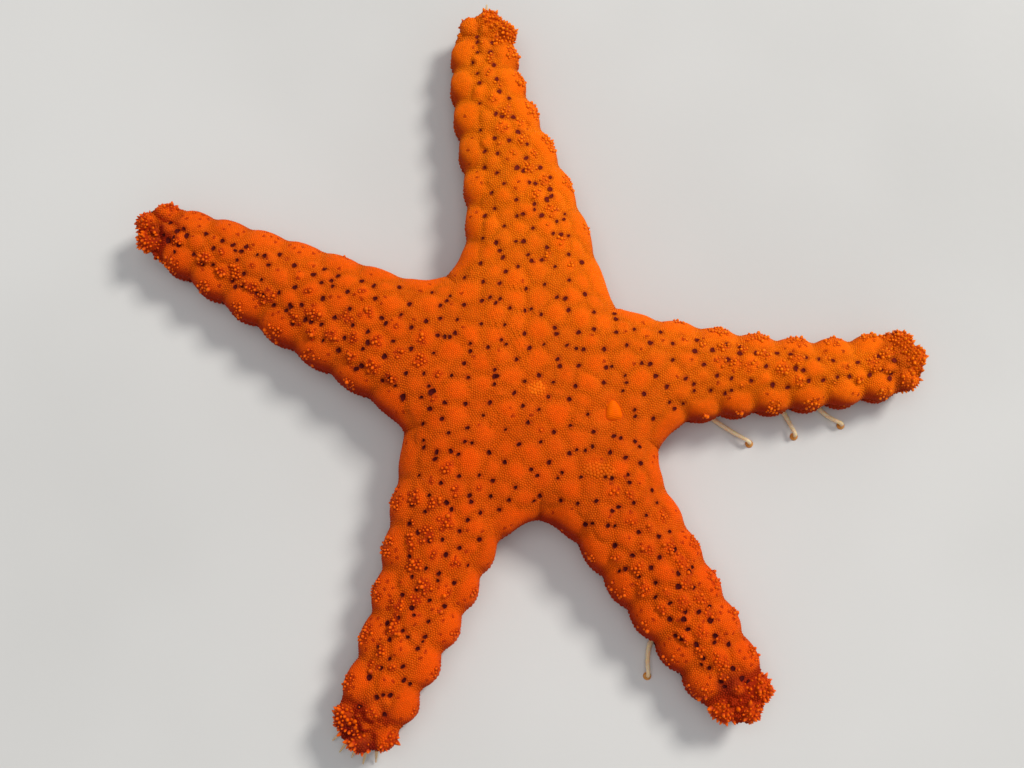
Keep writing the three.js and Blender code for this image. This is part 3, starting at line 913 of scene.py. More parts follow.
def marked(look, crown):
    """The markings that skin and granules share. crown: 0 in the grooves round granules, 1 on their tops;
    the grooves, and the skin between the granules, take the skin's own darker colour with painted shade.
    """
    plate = look.map(look.attribute("plate"), 0, 0.85)
    patches = look.scaled(look.map(look.noise(220, 3), 0.35, 0.7), 0.35)
    top = look.mix(patches, look.mix(plate, GAP_COLOUR, PLATE_COLOUR), PATCH_COLOUR)
    top = look.mix(look.attribute("pale"), top, PALE_COLOUR)
    # painted shade in the grooves and at the feet of the granules, over the skin's own darker colour
    groove = look.mix(plate, GAP_GROOVE_SHADE, PLATE_GROOVE_SHADE)
    colour = leaning(look, look.mix(crown, groove, top))
    # the deep red, with painted shade on the sides turned from the light and painted shadow beside the knobs
    colour = look.mix(look.attribute("low"), colour, DEEP_RED_AND_SHADE_COLOUR)
    # painted shade round the pores, and the dark patches, partly painted shade
    return look.mix(look.attribute("hollow"), colour, RIM_SHADE_AND_PATCH_COLOUR)


def granule_look():
    look = Look("granules", 0.65, 0.06)
    # granules darker towards their feet: painted shade
    colour = marked(look, look.map(look.attribute("crown"), 0, 0.7))
    colour = look.brighter(colour, look.map(look.attribute("tint"), 0, 1, 0.88, 1.12))
    grain = look.noise(9000)
    return look.finished(colour, grain, (0.48, 0.66), 0.03, 0.5)


def skin_look():
    look = Look("skin", 0.7, 0.05)
    grain = look.noise(6000, 3)
    colour = marked(look, look.map(grain, 0.3, 0.7, 0.05, 0.3))
    return look.finished(colour, grain, (0.6, 0.8), 0.05, 0.6)


def bead_look(name, colour):
    look = Look(name, 0.5, 0.08)
    grain = look.noise(5000)
    tinted = look.brighter(colour, look.map(look.attribute("tint"), 0, 1, 0.86, 1.1))
    tinted = look.mix(look.map(grain, 0.4, 0.75, 0, 0.35), tinted, PLATE_COLOUR)
    # knobs and spines darker towards their feet: painted shade
    beaded = leaning(look, look.mix(look.map(look.attribute("crown"), 0, 0.8), BEAD_FOOT_SHADE_COLOUR, tinted))
    return look.finished(beaded, grain, (0.42, 0.62), 0.04, 0.5)


def pore_look():
    look = Look("pore", 0.7, 0.03)
    grain = look.noise(4000)
    dark = look.mix(look.map(grain, 0.3, 0.7), *PORE_COLOURS)
    # pores lighter towards the upper right: painted light
    colour = look.mix(look.attribute("warm"), dark, LIT_PORE_COLOUR)
    return look.finished(colour, grain, (0.6, 0.8), 0.04, 0.5)


def madreporite_look():
    look = Look("madreporite", 0.5, 0.02)
    crests = look.mix(look.map(look.noise(900), 0.35, 0.7), *CREST_COLOURS)
    # darker in the furrows between the crests: painted shade
    colour = look.mix(look.map(look.attribute("crest"), 0.1, 0.9), FURROW_SHADE_COLOUR, crests)
    grain = look.noise(7000)
    return look.finished(colour, grain, (0.34, 0.5), 0.03, 0.4)


def foot_look(name, base, deep, clear=0.0):
    """Of a tube foot with its sucker. clear: how far light goes through it."""
    look = Look(name, 0.28, 0.4)
    constants = {
        "Transmission Weight": clear,
        "IOR": 1.36,
        "Subsurface Weight": 0.35,
        "Subsurface Radius": (1.0, 0.45, 0.15),
        "Subsurface Scale": 0.0006,
    }
    for key, value in constants.items():
        look.shader.inputs[key].default_value = value
    uneven = look.map(look.noise(1500), 0.35, 0.65)
    colour = look.mix(look.attribute("end"), look.mix(look.scaled(uneven, 0.6), base, deep), SUCKER_COLOUR)
    return look.finished(colour, look.noise(5000), look.map(uneven, 0, 1, 0.22, 0.36), 0.04, 0.4)


def floor_look():
    look = Look("floor", 0.8, 0.2)
    colour = look.mix(look.map(look.noise(14, 3), 0.3, 0.7), *FLOOR_COLOURS)
    grain = look.noise(900, 3)
    return look.finished(colour, grain, (0.75, 0.88), 0.05, 0.2)


# ---------------------------------------------------------------- plates of the body wall

body = body_surface()
top_body = body.part(body.top)


def marginal_plates():
    """Centres of the upper and lower marginal plates of every arm. Three upper ones are round its end."""
    uppers, lowers = [], []
    for arm in arms:
        rows = plate_rows(arm, STATIONS_PER_PLATE // 2)
        tip = arm.plates * STATIONS_PER_PLATE + END_STATIONS // 2
        turns = (-END_STATIONS // 3, 0, END_STATIONS // 3)
        uppers += [on_rib(arm, 0, row, UPPER_ARC) for row in rows]
        uppers += [on_rib(arm, 0, tip + turn, END_PLATE_ARC) for turn in turns]
        lowers += [on_rib(arm, 1, row, LOWER_ARC) for row in rows]
    return np.array(uppers), np.array(lowers)


def middle_plates():
    """Centres of the row along the middle line of every arm, and of the plate at the disc's centre."""
    centres = [[0, 0, BACK_HEIGHT[0]]]
    for arm in arms:
        length = ROW_PITCH[0]
        while length < arm.end_at:
            centres.append([*arm.middle(length), arm.ridge(length)])
            length += between(ROW_PITCH, length / arm.end_at)
    return np.array(centres)


upper_plates, lower_plates = marginal_plates()
row_plates = middle_plates()
settled = np.vstack([upper_plates, lower_plates, row_plates])
face_share = top_body.corners[..., SHARE].mean(1)
loose_pitch = np.where(face_share > END_SHARE, END_PITCH, between(SMALL_PITCH, face_share))
loose_plates = spread(top_body, loose_pitch, rounds=40, seed=11, fixed=settled)
apart, _ = distances_to(loose_plates.points, settled)
on_end = loose_plates.share > END_SHARE
room = np.where(on_end, END_ROOM, SMALL_ROOM)
lowest = np.where(on_end, END_LOWEST, SMALL_LOWEST)
small_plates = loose_plates.points[(apart > room) & (loose_plates.arc > lowest)]

kinds = (upper_plates, lower_plates, row_plates, small_plates)
plate_centres = np.vstack(kinds)
uneven = np.random.default_rng(12).uniform(-1, 1, (2, len(plate_centres)))


def by_kind(values):
    """A number for each plate, from one for each kind."""
    return np.repeat(values, [len(plates) for plates in kinds])


plate_weights = by_kind(PLATE_WEIGHTS) + by_kind(WEIGHTS_VARY) * uneven[0]
plate_crowns = by_kind(PLATE_CROWNS) + by_kind(CROWNS_VARY) * uneven[0]
plate_gaps = by_kind(PLATE_GAPS) + by_kind(GAPS_VARY) * uneven[1]
plate_powers = by_kind(PLATE_POWERS)


POINTS_AT_A_TIME = 4000  # to spare memory


def nearest_plates(points):
    """The nearest plate to each point, how far its centre is, and how much further the next two are."""
    numbers, distances, seconds, thirds = [], [], [], []
    for some in np.array_split(points, 1 + len(points) // POINTS_AT_A_TIME):
        distance = how_far(some[:, None], plate_centres)
        weighted = distance - plate_weights
        order = np.argpartition(weighted, (0, 1, 2), axis=1)[:, :3]
        three = np.take_along_axis(weighted, order, axis=1)
        numbers.append(order[:, 0])
        distances.append(np.take_along_axis(distance, order[:, :1], axis=1)[:, 0])
        seconds.append(three[:, 1] - three[:, 0])
        thirds.append(three[:, 2] - three[:, 0])
    return tuple(map(np.concatenate, (numbers, distances, seconds, thirds)))


def dome(number, distance, second):
    """The level of each point, from the first three numbers that nearest_plates gives."""
    edge = np.maximum(second / 2 - plate_gaps[number], 0)
    return plate_crowns[number] * (1 - (distance / (distance + edge + 1e-6)) ** plate_powers[number])


def level_at(points):
    """1 on the crown of a full plate, falling to 0 in the gaps."""
    return dome(*nearest_plates(points)[:3])


def level_of(points, arc, top):
    """The same, but the underside has no gaps beyond its lower plates."""
    level = level_at(points)
    return np.where(top, level, 1 - (1 - level) * fading(arc, *LOWER_GAPS_END))


# the skin: each point of the body lowered by the coat's depth, and further in the gaps
corner_share = np.zeros(len(body.points))
corner_arc = np.zeros(len(body.points))
corner_top = np.zeros(len(body.points), bool)
corner_arm = np.zeros(len(body.points), int)
for corner in range(3):
    at = body.triangles[:, corner]
    corner_share[at] = body.corners[:, corner, SHARE]
    corner_arc[at] = body.corners[:, corner, ARC]
    corner_top[at] |= body.top
    corner_arm[at] = body.arm
skin_level = level_of(body.points, corner_arc, corner_top)
deepened = MARGIN_RELIEF + (1 - MARGIN_RELIEF) * smooth(corner_arc, *MARGIN_FADE)
relief = between(RELIEF, corner_share) * np.where(corner_share < END_SHARE, deepened, END_RELIEF)
sunk = COAT_DEPTH + relief * (1 - skin_level)
on_crease = corner_top & (corner_share < 1e-6)
creased = smooth(corner_arc, *CREASE_SPANS[0]) * fading(corner_arc, *CREASE_SPANS[1])
sunk += on_crease * CREASE * creased
skin = body.moved(body.points - body.normals * sunk[:, None])
skin_top = skin.part(skin.top)
skin_under = skin.part(~skin.top)

# ---------------------------------------------------------------- markings


def seam_red_and_shade_of(arc, top, normals):
    """Deep red along the seam and over the lower marginal plates, which is their own red, and painted shade
    that goes further up on the lower left sides, turned from the light.
    """
    # how far a side is turned from the light, towards the lower left, where the painted shade is deeper and
    # goes higher
    facing = np.clip(1.25 * (-normals[:, :2] @ FROM_SEAM_SHADE) - 0.25, 0, 1)
    upper = fading(arc, *(between(pair, facing) for pair in SEAM_RED_AND_SHADE_ABOVE))
    return between(SEAM_RED_AND_SHADE, facing) * np.where(top, upper, fading(arc, *SEAM_RED_AND_SHADE_BELOW))


def yellow_and_light_of(points):
    """How far the colour leans from red to yellow, and brighter, from the lower left of the animal to its
    upper right: partly its own lean, partly painted light.
    """
    return smooth(points[:, :2] @ TO_YELLOW_AND_LIGHT, *YELLOW_AND_LIGHT_SPAN)


def red_and_shadow_of(points, normals, arm, share, level):
    """Deep red between the lumps at the ends of the arms, with painted shade that is deeper on the sides
    turned from the light; deep red and painted shadow between the knobs; and the freckles' own red.
    """
    knob_gap, _ = distances_to(points, knob_shadows_and_tip_knobs)
    freckle_gap, _ = distances_to(points, freckles)
    lower_left, upper_right = per_arm(END_RED_AND_SHADE, arm).T
    # how far a side of an end is turned from the light, where its painted shade is deeper
    facing = smooth(-normals[:, :2] @ FROM_END_SHADE, -0.3, 0.4)
    depth = upper_right + (lower_left - upper_right) * facing
    ends = depth * smooth(share, *RED_AND_SHADE_END) * (1 - LUMP_CLEAR * smooth(level, 0.2, 0.8))
    knob_red_and_shadow = per_arm(KNOB_RED_AND_SHADOW, arm) * fading(knob_gap, *KNOB_RED_AND_SHADOW_SPAN)
    spots = FRECKLE_RED * fading(freckle_gap, *FRECKLE_SPAN)
    return np.maximum.reduce([ends, knob_red_and_shadow, spots])


def coarse_of(points):
    """1 in the patches of coarse granules, and how pale they are."""
    result, pale = np.zeros((2, len(points)))
    for centre, length, width, bearing, paleness in COARSE_PATCHES:
        along = polar(bearing, 1)
        offset = points[:, :2] - centre
        ahead, aside = offset @ along / length, offset @ left_of(along) / width
        patch = fading(np.hypot(ahead, aside), *COARSE_FADE) * (points[:, 2] > DISC_FROM)
        result = np.maximum(result, patch)
        pale = np.maximum(pale, paleness * patch)
    return result, pale


def knobbed_of(spots):
    """How strongly the plates are knobbed there: more towards the tips, and by the sides of the arms."""
    reach = np.array([arm.reach for arm in arms])[spots.arm]
    left, right = per_arm(KNOBBED, spots.arm).T
    along, aside = spots.unwrapped.T
    side = smooth(aside, *KNOBBED_ACROSS)
    grown = smooth(along / reach, KNOBBED_START, per_arm(KNOBBED_FROM, spots.arm))
    grown = between((LEAST_KNOBBED, 1), grown)
    return (right + (left - right) * side) * grown


# ---------------------------------------------------------------- granules, pores and knobs

rounds = 26
random = np.random.default_rng(22)


def granule_pitches():
    """The pitch of the granules on each face of the back."""
    middle = skin_top.points[skin_top.triangles].mean(1)
    pitch = GAP_GRANULES + (PLATE_GRANULES - GAP_GRANULES) * smooth(level_at(middle), 0, 0.7)
    pitch += (END_GRANULES - pitch) * smooth(skin_top.corners[..., SHARE].mean(1), *NODULAR_END)
    return pitch + (COARSE_GRANULES - pitch) * coarse_of(middle)[0]


face_pitch = granule_pitches()
granules = spread(skin_top, face_pitch, rounds, seed=21)
granule_plate, distance, second, third = nearest_plates(granules.points)
granule_level = dome(granule_plate, distance, second)


def choose_pores():
    """Places in the gaps, first where three plates meet, off the margins and tips. Some have a twin."""
    clear_of_margin = granules.arc > between(PORE_MARGIN, granules.share)
    between_plates = (second < PORE_GAPS[0]) & (third < PORE_GAPS[1])
    eligible = between_plates & clear_of_margin & (granules.share < END_SHARE)
    order = np.flatnonzero(eligible)[np.argsort(third[eligible])]
    spacing = between(PORE_SPACING, granules.share) * random.uniform(0.8, 1.2, len(granules.points))
    picked = []
    for i in order:
        away = how_far(granules.points[picked], granules.points[i])
        if (away > spacing[i]).all():
            picked.append(i)
    picked = np.array(picked)
    twins = []
    for i in picked[random.random(len(picked)) < TWIN_SHARE]:
        away = how_far(granules.points, granules.points[i])
        twins.append(random.choice(np.flatnonzero((away > TWIN_APART[0]) & (away < TWIN_APART[1]))))
    return granules.chosen(np.concatenate([picked, np.array(twins, int)]))


pores = choose_pores()
madreporite_at = polar(MADREPORITE["bearing"], MADREPORITE["distance"])
pores = pores.chosen(how_far(pores.points[:, :2], madreporite_at) > MADREPORITE_CLEAR)
pore_radius = random.uniform(*PORE_RADIUS, len(pores.points)) * (1 + 0.15 * knobbed_of(pores))
for place, radius in LARGE_PORES:
    nearest = how_far(granules.points[:, :2], place).argmin()
    near = how_far(pores.points, granules.points[nearest]) < LARGE_PORE_CLEAR
    pores = pores.chosen(~near).joined(granules.chosen([nearest]))
    pore_radius = np.append(pore_radius[~near], radius)


def seam_places():
    """Where a pore lies in the seam: between the lower plates, just below it."""
    rows = [(arm, row) for arm in arms for row in plate_rows(arm, STATIONS_PER_PLATE)]
    return np.array([on_rib(arm, 1, row, SEAM_PORE_ARC) for arm, row in rows])


seam_pores = Spots(skin_under, seam_places())


def bezier(shares, *knots):
    """Points on a Bezier curve."""
    points = np.array(knots, float)[:, None]
    while len(points) > 1:
        points = points[:-1] + (points[1:] - points[:-1]) * shares[:, None]
    return points[0]


def madreporite_outline(grown):
    """The outline of the madreporite, a blunt triangle, as points round its middle."""
    length, half = MADREPORITE["length"], MADREPORITE["width"] / 2 + grown
    tip, foot = length * 0.55 + grown, -length * 0.45 - grown
    shoulder = foot * 0.6
    shares = np.linspace(0, 1, 16, endpoint=False)
    outline = np.vstack(
        [
            bezier(shares, (tip, 0), (tip, half * 0.5), (0, half), (shoulder, half)),
            bezier(shares, (shoulder, half), (foot, half), (foot, 0)),
            bezier(shares, (foot, 0), (foot, -half), (shoulder, -half)),
            bezier(shares, (shoulder, -half), (0, -half), (tip, -half * 0.5), (tip, 0)),
        ]
    )
    forward = polar(MADREPORITE["apex"], 1)
    return outline @ np.array([forward, left_of(forward)]) + madreporite_at


def inside(points, outline):
    """Which points lie inside a closed outline, seen from above."""
    x, y = points[:, 0], points[:, 1]
    result = np.zeros(len(points), bool)
    for (x0, y0), (x1, y1) in zip(outline, np.roll(outline, -1, axis=0)):
        crosses = (y0 > y) != (y1 > y)
        with np.errstate(divide="ignore", invalid="ignore"):
            result ^= crosses & (x < (x1 - x0) * (y - y0) / (y1 - y0) + x0)
    return result


def choose_knobs():
    """Clusters of knobs on the outer slope of the plates, and the places of the painted shadows beside them.
    """
    spots = spread(skin_top, KNOB_PITCH, rounds, seed=31)
    plates = Spots(skin_top, plate_centres)
    outer = plates.normals[:, :2]
    outer = outer / np.maximum(np.linalg.norm(outer, axis=1, keepdims=True), 0.35)
    strength = knobbed_of(plates) * by_kind(KNOB_SHARES)
    size = CLUSTER_RADIUS * strength * random.uniform(*CLUSTERS_VARY, len(strength))
    size = np.minimum(size, LARGEST_CLUSTER)
    size[random.random(len(size)) < between(BARE_SHARE, 1.3 * strength)] = 0
    heart = plate_centres.copy()
    heart[:, :2] += outer * by_kind(KNOB_SHIFTS)[:, None]
    heart = Spots(skin_top, heart).points
    near = nearest_plates(spots.points)[0]
    away = how_far(spots.points, heart[near])
    kept = random.random(len(away)) < CLUSTER_SHARE
    chosen = (away < size[near]) & (spots.share < END_SHARE) & kept
    shadows = spots.points[chosen].copy()
    shadows[:, :2] += SHADOW_SHIFT * outer[near[chosen]]
    return spots.chosen(chosen), shadows


def choose_tip_knobs():
    """Pointed ones round the ends of the arms, further up where an arm is knobbed."""
    low = skin_top.corners[..., ARC].max(1) < TIP_KNOB_REACH
    ends = skin_top.part(low & (skin_top.corners[..., SHARE].min(1) > END_SHARE))
    spots = spread(ends, TIP_PITCH, rounds, seed=32)
    strength = knobbed_of(spots)
    on_lump = smooth(level_at(spots.points), 0.15, 0.5)
    often = (TIP_KNOB_SHARE[0] + TIP_KNOB_SHARE[1] * strength) * between((IN_A_GAP, 1), on_lump)
    kept = random.random(len(strength)) < often
    highest = TIP_KNOB_ARCS[1] + TIP_KNOB_ARCS[2] * strength
    return spots.chosen(kept & (spots.arc > TIP_KNOB_ARCS[0]) & (spots.arc < highest))


def choose_freckles():
    """Small dark red spots on the plates."""
    spots = spread(skin_top, FRECKLE_PITCH, rounds, seed=33)
    level = level_at(spots.points)
    along = spots.unwrapped[:, 0]
    often = between(FRECKLE_SHARE, smooth(along, *FRECKLE_ALONG)) * per_arm(END_RED_AND_SHADE, spots.arm)[:, 0]
    on_plate = (level > FRECKLE_LEVEL) & (spots.arc > FRECKLE_ARC)
    return spots.points[on_plate & (random.random(len(level)) < often)]


knobs, shadows = choose_knobs()
tip_knobs = choose_tip_knobs()
# painted shadows beside the knobs, and the knobs at the tips, round which deep red and painted shadow lie
knob_shadows_and_tip_knobs = np.vstack([shadows, tip_knobs.points])
freckles = choose_freckles()


def rim_shade_and_patches_of(points):
    """Darkest: painted shade round the pores, and a few patches at the ends of the arms that are partly dark
    spots and partly painted shade.
    """
    pore_gap, near = distances_to(points, pores.points)
    shades = [RIM_SHADE_DEPTH * fading(pore_gap - pore_radius[near], *RIM_SHADE_SPAN)]
    for centre, radius, depth in DARK_AND_SHADED_PATCHES:
        away = how_far(points[:, :2], centre)
        inner, outer = (share * radius for share in PATCH_FADE)
        shades.append(depth * fading(away, inner, outer) * (points[:, 2] > PATCH_FROM))
    return np.maximum.reduce(shades)


def granules_clear():
    """Which granules stand clear of the madreporite, the pores and the knobs."""
    points = granules.points
    gap, near = distances_to(points, pores.points)
    result = (gap > pore_radius[near] + PORE_CLEAR) & ~inside(points, madreporite_outline(DOME_CLEAR))
    kept_off = ((knobs, KNOB_CLEAR), (tip_knobs, TIP_KNOB_CLEAR), (seam_pores, SEAM_PORE + PORE_CLEAR))
    for spots, least in kept_off:
        result &= distances_to(points, spots.points)[0] > least
    return result


clear = granules_clear()

# ---------------------------------------------------------------- skin, and what stands on it

skin_material = skin_look()
granule_material = granule_look()
pore_material = pore_look()

# rings of the studs, from the foot up: shares of radius and height
GRANULE_RINGS = [(1.0, -0.45), (0.82, 0.5)]
KNOB_RINGS = [(1.0, -0.3), (0.92, 0.35), (0.6, 0.78), (0.28, 0.95)]
TIP_RINGS = [(1.0, -0.3), (0.9, 0.22), (0.55, 0.64), (0.2, 0.93)]
PORE_RINGS = [(1.05, 4.6), (0.82, 2.6), (0.5, 1.3)]
PORE_FLOOR = 0.03  # height of its middle above the skin, as its rings stand higher


def markings(points, normals, arc, top, arm, share, level):
    """What the skin and the granules of the back have in common, by attribute name."""
    red_and_shadow = red_and_shadow_of(points, normals, arm, share, level)
    return {
        "plate": level,
        # deep red, with its painted shade and painted shadows
        "low": np.maximum(seam_red_and_shade_of(arc, top, normals), red_and_shadow),
        "hollow": rim_shade_and_patches_of(points),
        "warm": yellow_and_light_of(points),
    }


def coat_of_back():
    """The granules of each arm with its part of the disc, and the coarse ones."""
    spots, level, count = granules, granule_level, len(granules.points)
    values = markings(spots.points, spots.normals, spots.arc, True, spots.arm, spots.share, level)
    own, plate = random.random(count), uneven[0][granule_plate] / 2 + 0.5
    values["tint"] = TINT_SHARES[0] * own + TINT_SHARES[1] * plate
    coarse, values["pale"] = coarse_of(spots.points)
    radius = face_pitch[spots.face] * random.uniform(*GRANULE_RADIUS, count)
    height = COAT_DEPTH * random.uniform(*GRANULE_HEIGHT, count) * between(FLATTENED, smooth(level, 0, 0.4))
    height *= 1 + NODULAR_HEIGHT * smooth(spots.share, *NODULAR_END) * random.random(count)
    coarse = coarse > 0.5
    height[coarse] *= COARSE_HEIGHT
    pieces = {f"granules_{arm.letter}": clear & ~coarse & (spots.arm == arm.number) for arm in arms}
    pieces["coarse_granules"] = clear & coarse
    for seed, (name, mine) in enumerate(pieces.items(), 40):
        rings, sides = (KNOB_RINGS, 8) if name == "coarse_granules" else (GRANULE_RINGS, 5)
        shape = (radius[mine], height[mine], rings, sides, seed)
        chosen = {key: numbers[mine] for key, numbers in values.items()}
        stud_piece(name, spots.chosen(mine), *shape, granule_material, "skin", **chosen)


def coat_of_underside():
    """The coarser granules below, outside the grooves."""
    spots = spread(skin_under, UNDER_GRANULES, rounds, seed=51)
    from_core = np.abs(spots.unwrapped[:, 1])
    seam_gap, _ = distances_to(spots.points, seam_pores.points)
    outside_groove = (from_core > GROOVE_LIP + LIP_CLEAR) | (spots.share > 0.99)
    spots = spots.chosen(outside_groove & (seam_gap > SEAM_PORE + UNDER_PORE_CLEAR))
    for arm in arms:
        own = spots.chosen(spots.arm == arm.number)
        count = len(own.points)
        radius = UNDER_GRANULES * random.uniform(*UNDER_RADIUS, count)
        height = COAT_DEPTH * random.uniform(*UNDER_HEIGHT, count)
        values = {
            "plate": level_of(own.points, own.arc, False),
            # deep red by the seam, with painted shade on the sides turned from the light
            "low": seam_red_and_shade_of(own.arc, False, own.normals),
            "hollow": np.zeros(count),
            "warm": yellow_and_light_of(own.points),
            "tint": random.random(count),
            "pale": np.zeros(count),
        }
        shape = (radius, height, GRANULE_RINGS, 6, 50 + arm.number)
        stud_piece(f"under_granules_{arm.letter}", own, *shape, granule_material, "skin", **values)


coat_of_back()
coat_of_underside()


def packed_unwrap(surface):
    """The skin's map: the unwrapped top and underside of each arm, in two columns of five islands."""
    unwrap = surface.corners[..., :2]
    low = unwrap.reshape(-1, 2).min(0)
    span = unwrap.reshape(-1, 2).max(0) - low
    cell = (unwrap - low) / span * [0.48, 0.18] + 0.01
    column = np.where(surface.top, 0.0, 0.5)
    row = surface.arm * 0.2
    return cell + np.stack([column, row], axis=1)[:, None]


values = markings(skin.points, skin.normals, corner_arc, corner_top, corner_arm, corner_share, skin_level)
values["pale"] = 0.2 * coarse_of(skin.points)[1]
skin_piece = make("skin", skin.points, skin.triangles, skin_material, "skin", packed_unwrap(skin), **values)
flesh = [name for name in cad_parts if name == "disc" or name.startswith(("arm_", "terminal_"))]
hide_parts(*flesh)


def pore_piece(name, spots, radius, ragged, seed):
    """Dark pits with a low rim. ragged: how uneven their outlines are."""
    shape = (radius, PORE_FLOOR, PORE_RINGS, 7, seed)
    stud_piece(name, spots, *shape, pore_material, "skin", ragged=ragged, warm=yellow_and_light_of(spots.points))


def knob_piece(name, spots, radii, tall, rings, slot, seed):
    """Knobs that lean a little out of upright. tall: their height, times their radius."""
    own = np.random.default_rng(seed)
    count = len(spots.points)
    size = between(radii, own.random(count) ** 1.3)
    size *= np.where(own.random(count) < LARGER_KNOBS[0], LARGER_KNOBS[1], 1)
    height = size * tall * own.uniform(*KNOB_HEIGHTS_VARY, count)
    spots.normals = unit(spots.normals + own.normal(0, KNOB_TILT, (count, 3)))
    values = {"tint": own.random(count), "warm": yellow_and_light_of(spots.points)}
    look = bead_look(name, KNOB_COLOUR)
    stud_piece(name, spots, size, height, rings, 8, seed + 5, look, slot, ragged=0.08, **values)


pore_piece("pores", pores, pore_radius, 0.38, 61)
pore_piece("seam_pores", seam_pores, SEAM_PORE, 0.16, 62)
knob_piece("knobs", knobs, KNOB_RADIUS, 1.4, KNOB_RINGS, "skin", 71)
knob_piece("tip_knobs", tip_knobs, TIP_KNOB_RADIUS, 1.9, TIP_RINGS, "terminal_skin", 72)

# ---------------------------------------------------------------- madreporite

CREST_PITCH = 0.24
CREST_HEIGHT = 0.05
DOME_RINGS = 22
DOME_SLOPE = -0.12  # it leans down to the right with the skin
DOME_FOOT = 0.5  # how far its edge goes down into the skin
DOME_SEAT = 9.0  # about the height of the skin there, to find it by


def madreporite_piece():
    """A low dome with fine wavy crests across it, in rings from its outline in to its middle."""
    outline = madreporite_outline(0)
    centre = outline.mean(0)
    seat = Spots(skin_top, np.array([[*centre, DOME_SEAT]])).points[0, 2] + CREST_HEIGHT
    points, crests = [], []
    for share in np.linspace(1, 0, DOME_RINGS + 1)[:-1]:
        ring = centre + (outline - centre) * share
        height = seat + MADREPORITE["rise"] * (1 - share**3.2) + DOME_SLOPE * (ring[:, 0] - centre[0])
        across = ring[:, 1] + 0.12 * np.sin(ring[:, 0] * 2.6) + 0.05 * np.sin(ring[:, 0] * 9)
        ripple = 0.5 + 0.5 * np.cos(across * 2 * np.pi / CREST_PITCH)
        fade = fading(share, 0.82, 1.0)
        points.append(np.column_stack([ring, height - CREST_HEIGHT * (1 - ripple) * fade]))
        crests.append(ripple * fade + (1 - fade) * 0.5)
    foot = points[0].copy()
    foot[:, 2] -= DOME_FOOT
    points = [foot, *points, np.array([[*centre, seat + MADREPORITE["rise"]]])]
    crests = [np.zeros(len(outline)), *crests, np.array([0.5])]
    sides = len(outline)
    last = DOME_RINGS * sides
    faces = ring_faces(DOME_RINGS + 1, sides) + cap_faces(last, sides, last + sides)
    return np.vstack(points), np.array(faces), np.concatenate(crests)


points, triangles, crests = madreporite_piece()
madreporite = make("madreporite_dome", points, triangles, madreporite_look(), "madreporite", crest=crests)
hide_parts("madreporite")

# ---------------------------------------------------------------- tube feet


def curve_through(knots, count):
    """A smooth curve through the knots."""
    knots = np.asarray(knots, float)
    padded = np.vstack([2 * knots[0] - knots[1], knots, 2 * knots[-1] - knots[-2]])
    at = np.linspace(0, len(knots) - 1, count)
    i = np.minimum(at.astype(int), len(knots) - 2)
    t = (at - i)[:, None]
    p0, p1, p2, p3 = (padded[i + k] for k in range(4))
    return 0.5 * (
        2 * p1 + (p2 - p0) * t + (2 * p0 - 5 * p1 + 4 * p2 - p3) * t**2 + (3 * p1 - p0 - 3 * p2 + p3) * t**3
    )


STEM_RADIUS = 0.86 * FOOT_RADIUS
STEM_POINTS = 44
STEM_SIDES = 20
STEM_RINGS = 70  # radians from root to sucker, of the wave that rings the stem
# heights of the sucker's rings, and shares of its radius
SUCKER_SHAPE = [(0, 0.96), (0.02, 1), (0.1, 0.98), (0.2, 0.84), (0.3, 0.66), (0.42, 0.5)]


def reaching_foot(letter, furrow, side, reach, lean):
    """A tube foot out from under the arm, and its sucker pressed to the ground."""
    arm = arm_of[letter]
    station = side_stations(arm, side, np.array([furrow / arm.plates]))
    point = station["point"][0]
    outward = station["outward"][0]
    core = arm.middle(station["inner"])[0]
    inward = unit(core - point)
    forward = left_of(outward) * -side

    def at(distance, ahead, height):
        return [*(point + inward * distance + forward * ahead), height]

    low = FOOT_RADIUS + 0.05
    knots = [
        at(PAD[1], 0, low),
        at(PAD[0] / 2, 0, low),
        at(-0.4 * reach, 0.4 * lean, low + 0.3),
        at(-0.9 * reach, 0.9 * lean, low + 0.6),
        at(-reach, lean, SUCKER_HEIGHT * 0.8),
    ]
    path = curve_through(knots, STEM_POINTS)
    along = np.linspace(0, 1, STEM_POINTS)
    taper = 1 - 0.22 * smooth(along, 0.1, 0.75)
    stem = tube(path, STEM_RADIUS * (taper + 0.05 * np.cos(along * STEM_RINGS)), STEM_SIDES)
    heights, widths = np.array(SUCKER_SHAPE).T
    cup_path = np.column_stack([np.tile(path[-1, :2], (len(heights), 1)), heights])
    cup = tube(cup_path, SUCKER_RADIUS * widths, 28)
    points, faces = joined([stem, cup])
    tip = np.concatenate([np.repeat(along, STEM_SIDES), [0, 1], np.ones(len(cup[0]))])
    return points, faces, smooth(tip, 0.8, 0.97)


foot_material = foot_look("reaching_feet", *REACHING_FOOT_COLOURS, clear=0.12)
for number, values in enumerate(FEET, 1):
    points, triangles, tip = reaching_foot(*values)
    foot = make(f"reaching_foot_{number}", points, triangles, foot_material, "tube_foot", end=tip)
    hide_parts(f"tube_foot_{number}")


# the tube feet in the grooves: length from the centre to the first, pitch, how far the two sides are out
# of step, and how far each foot stands from the middle line
GROOVE_FEET = {"first": 4.6, "pitch": 1.25, "stagger": 0.3, "aside": 0.62}
# the rings of one, from its root to its sucker: radius, and 1 where it is sucker
GROOVE_FOOT_RINGS = [(0.3, 0), (0.27, 0), (0.25, 0), (0.25, 0.3), (0.36, 1), (0.4, 1), (0.34, 1)]
ROOT_SHARES = (1, 0.66, 0.36)  # heights of the first three rings, as shares of the root's
ROOT_BELOW_ROOF = 0.15
END_HEIGHTS = (0.42, 0.3, 0.2, 0.16)  # of the last four


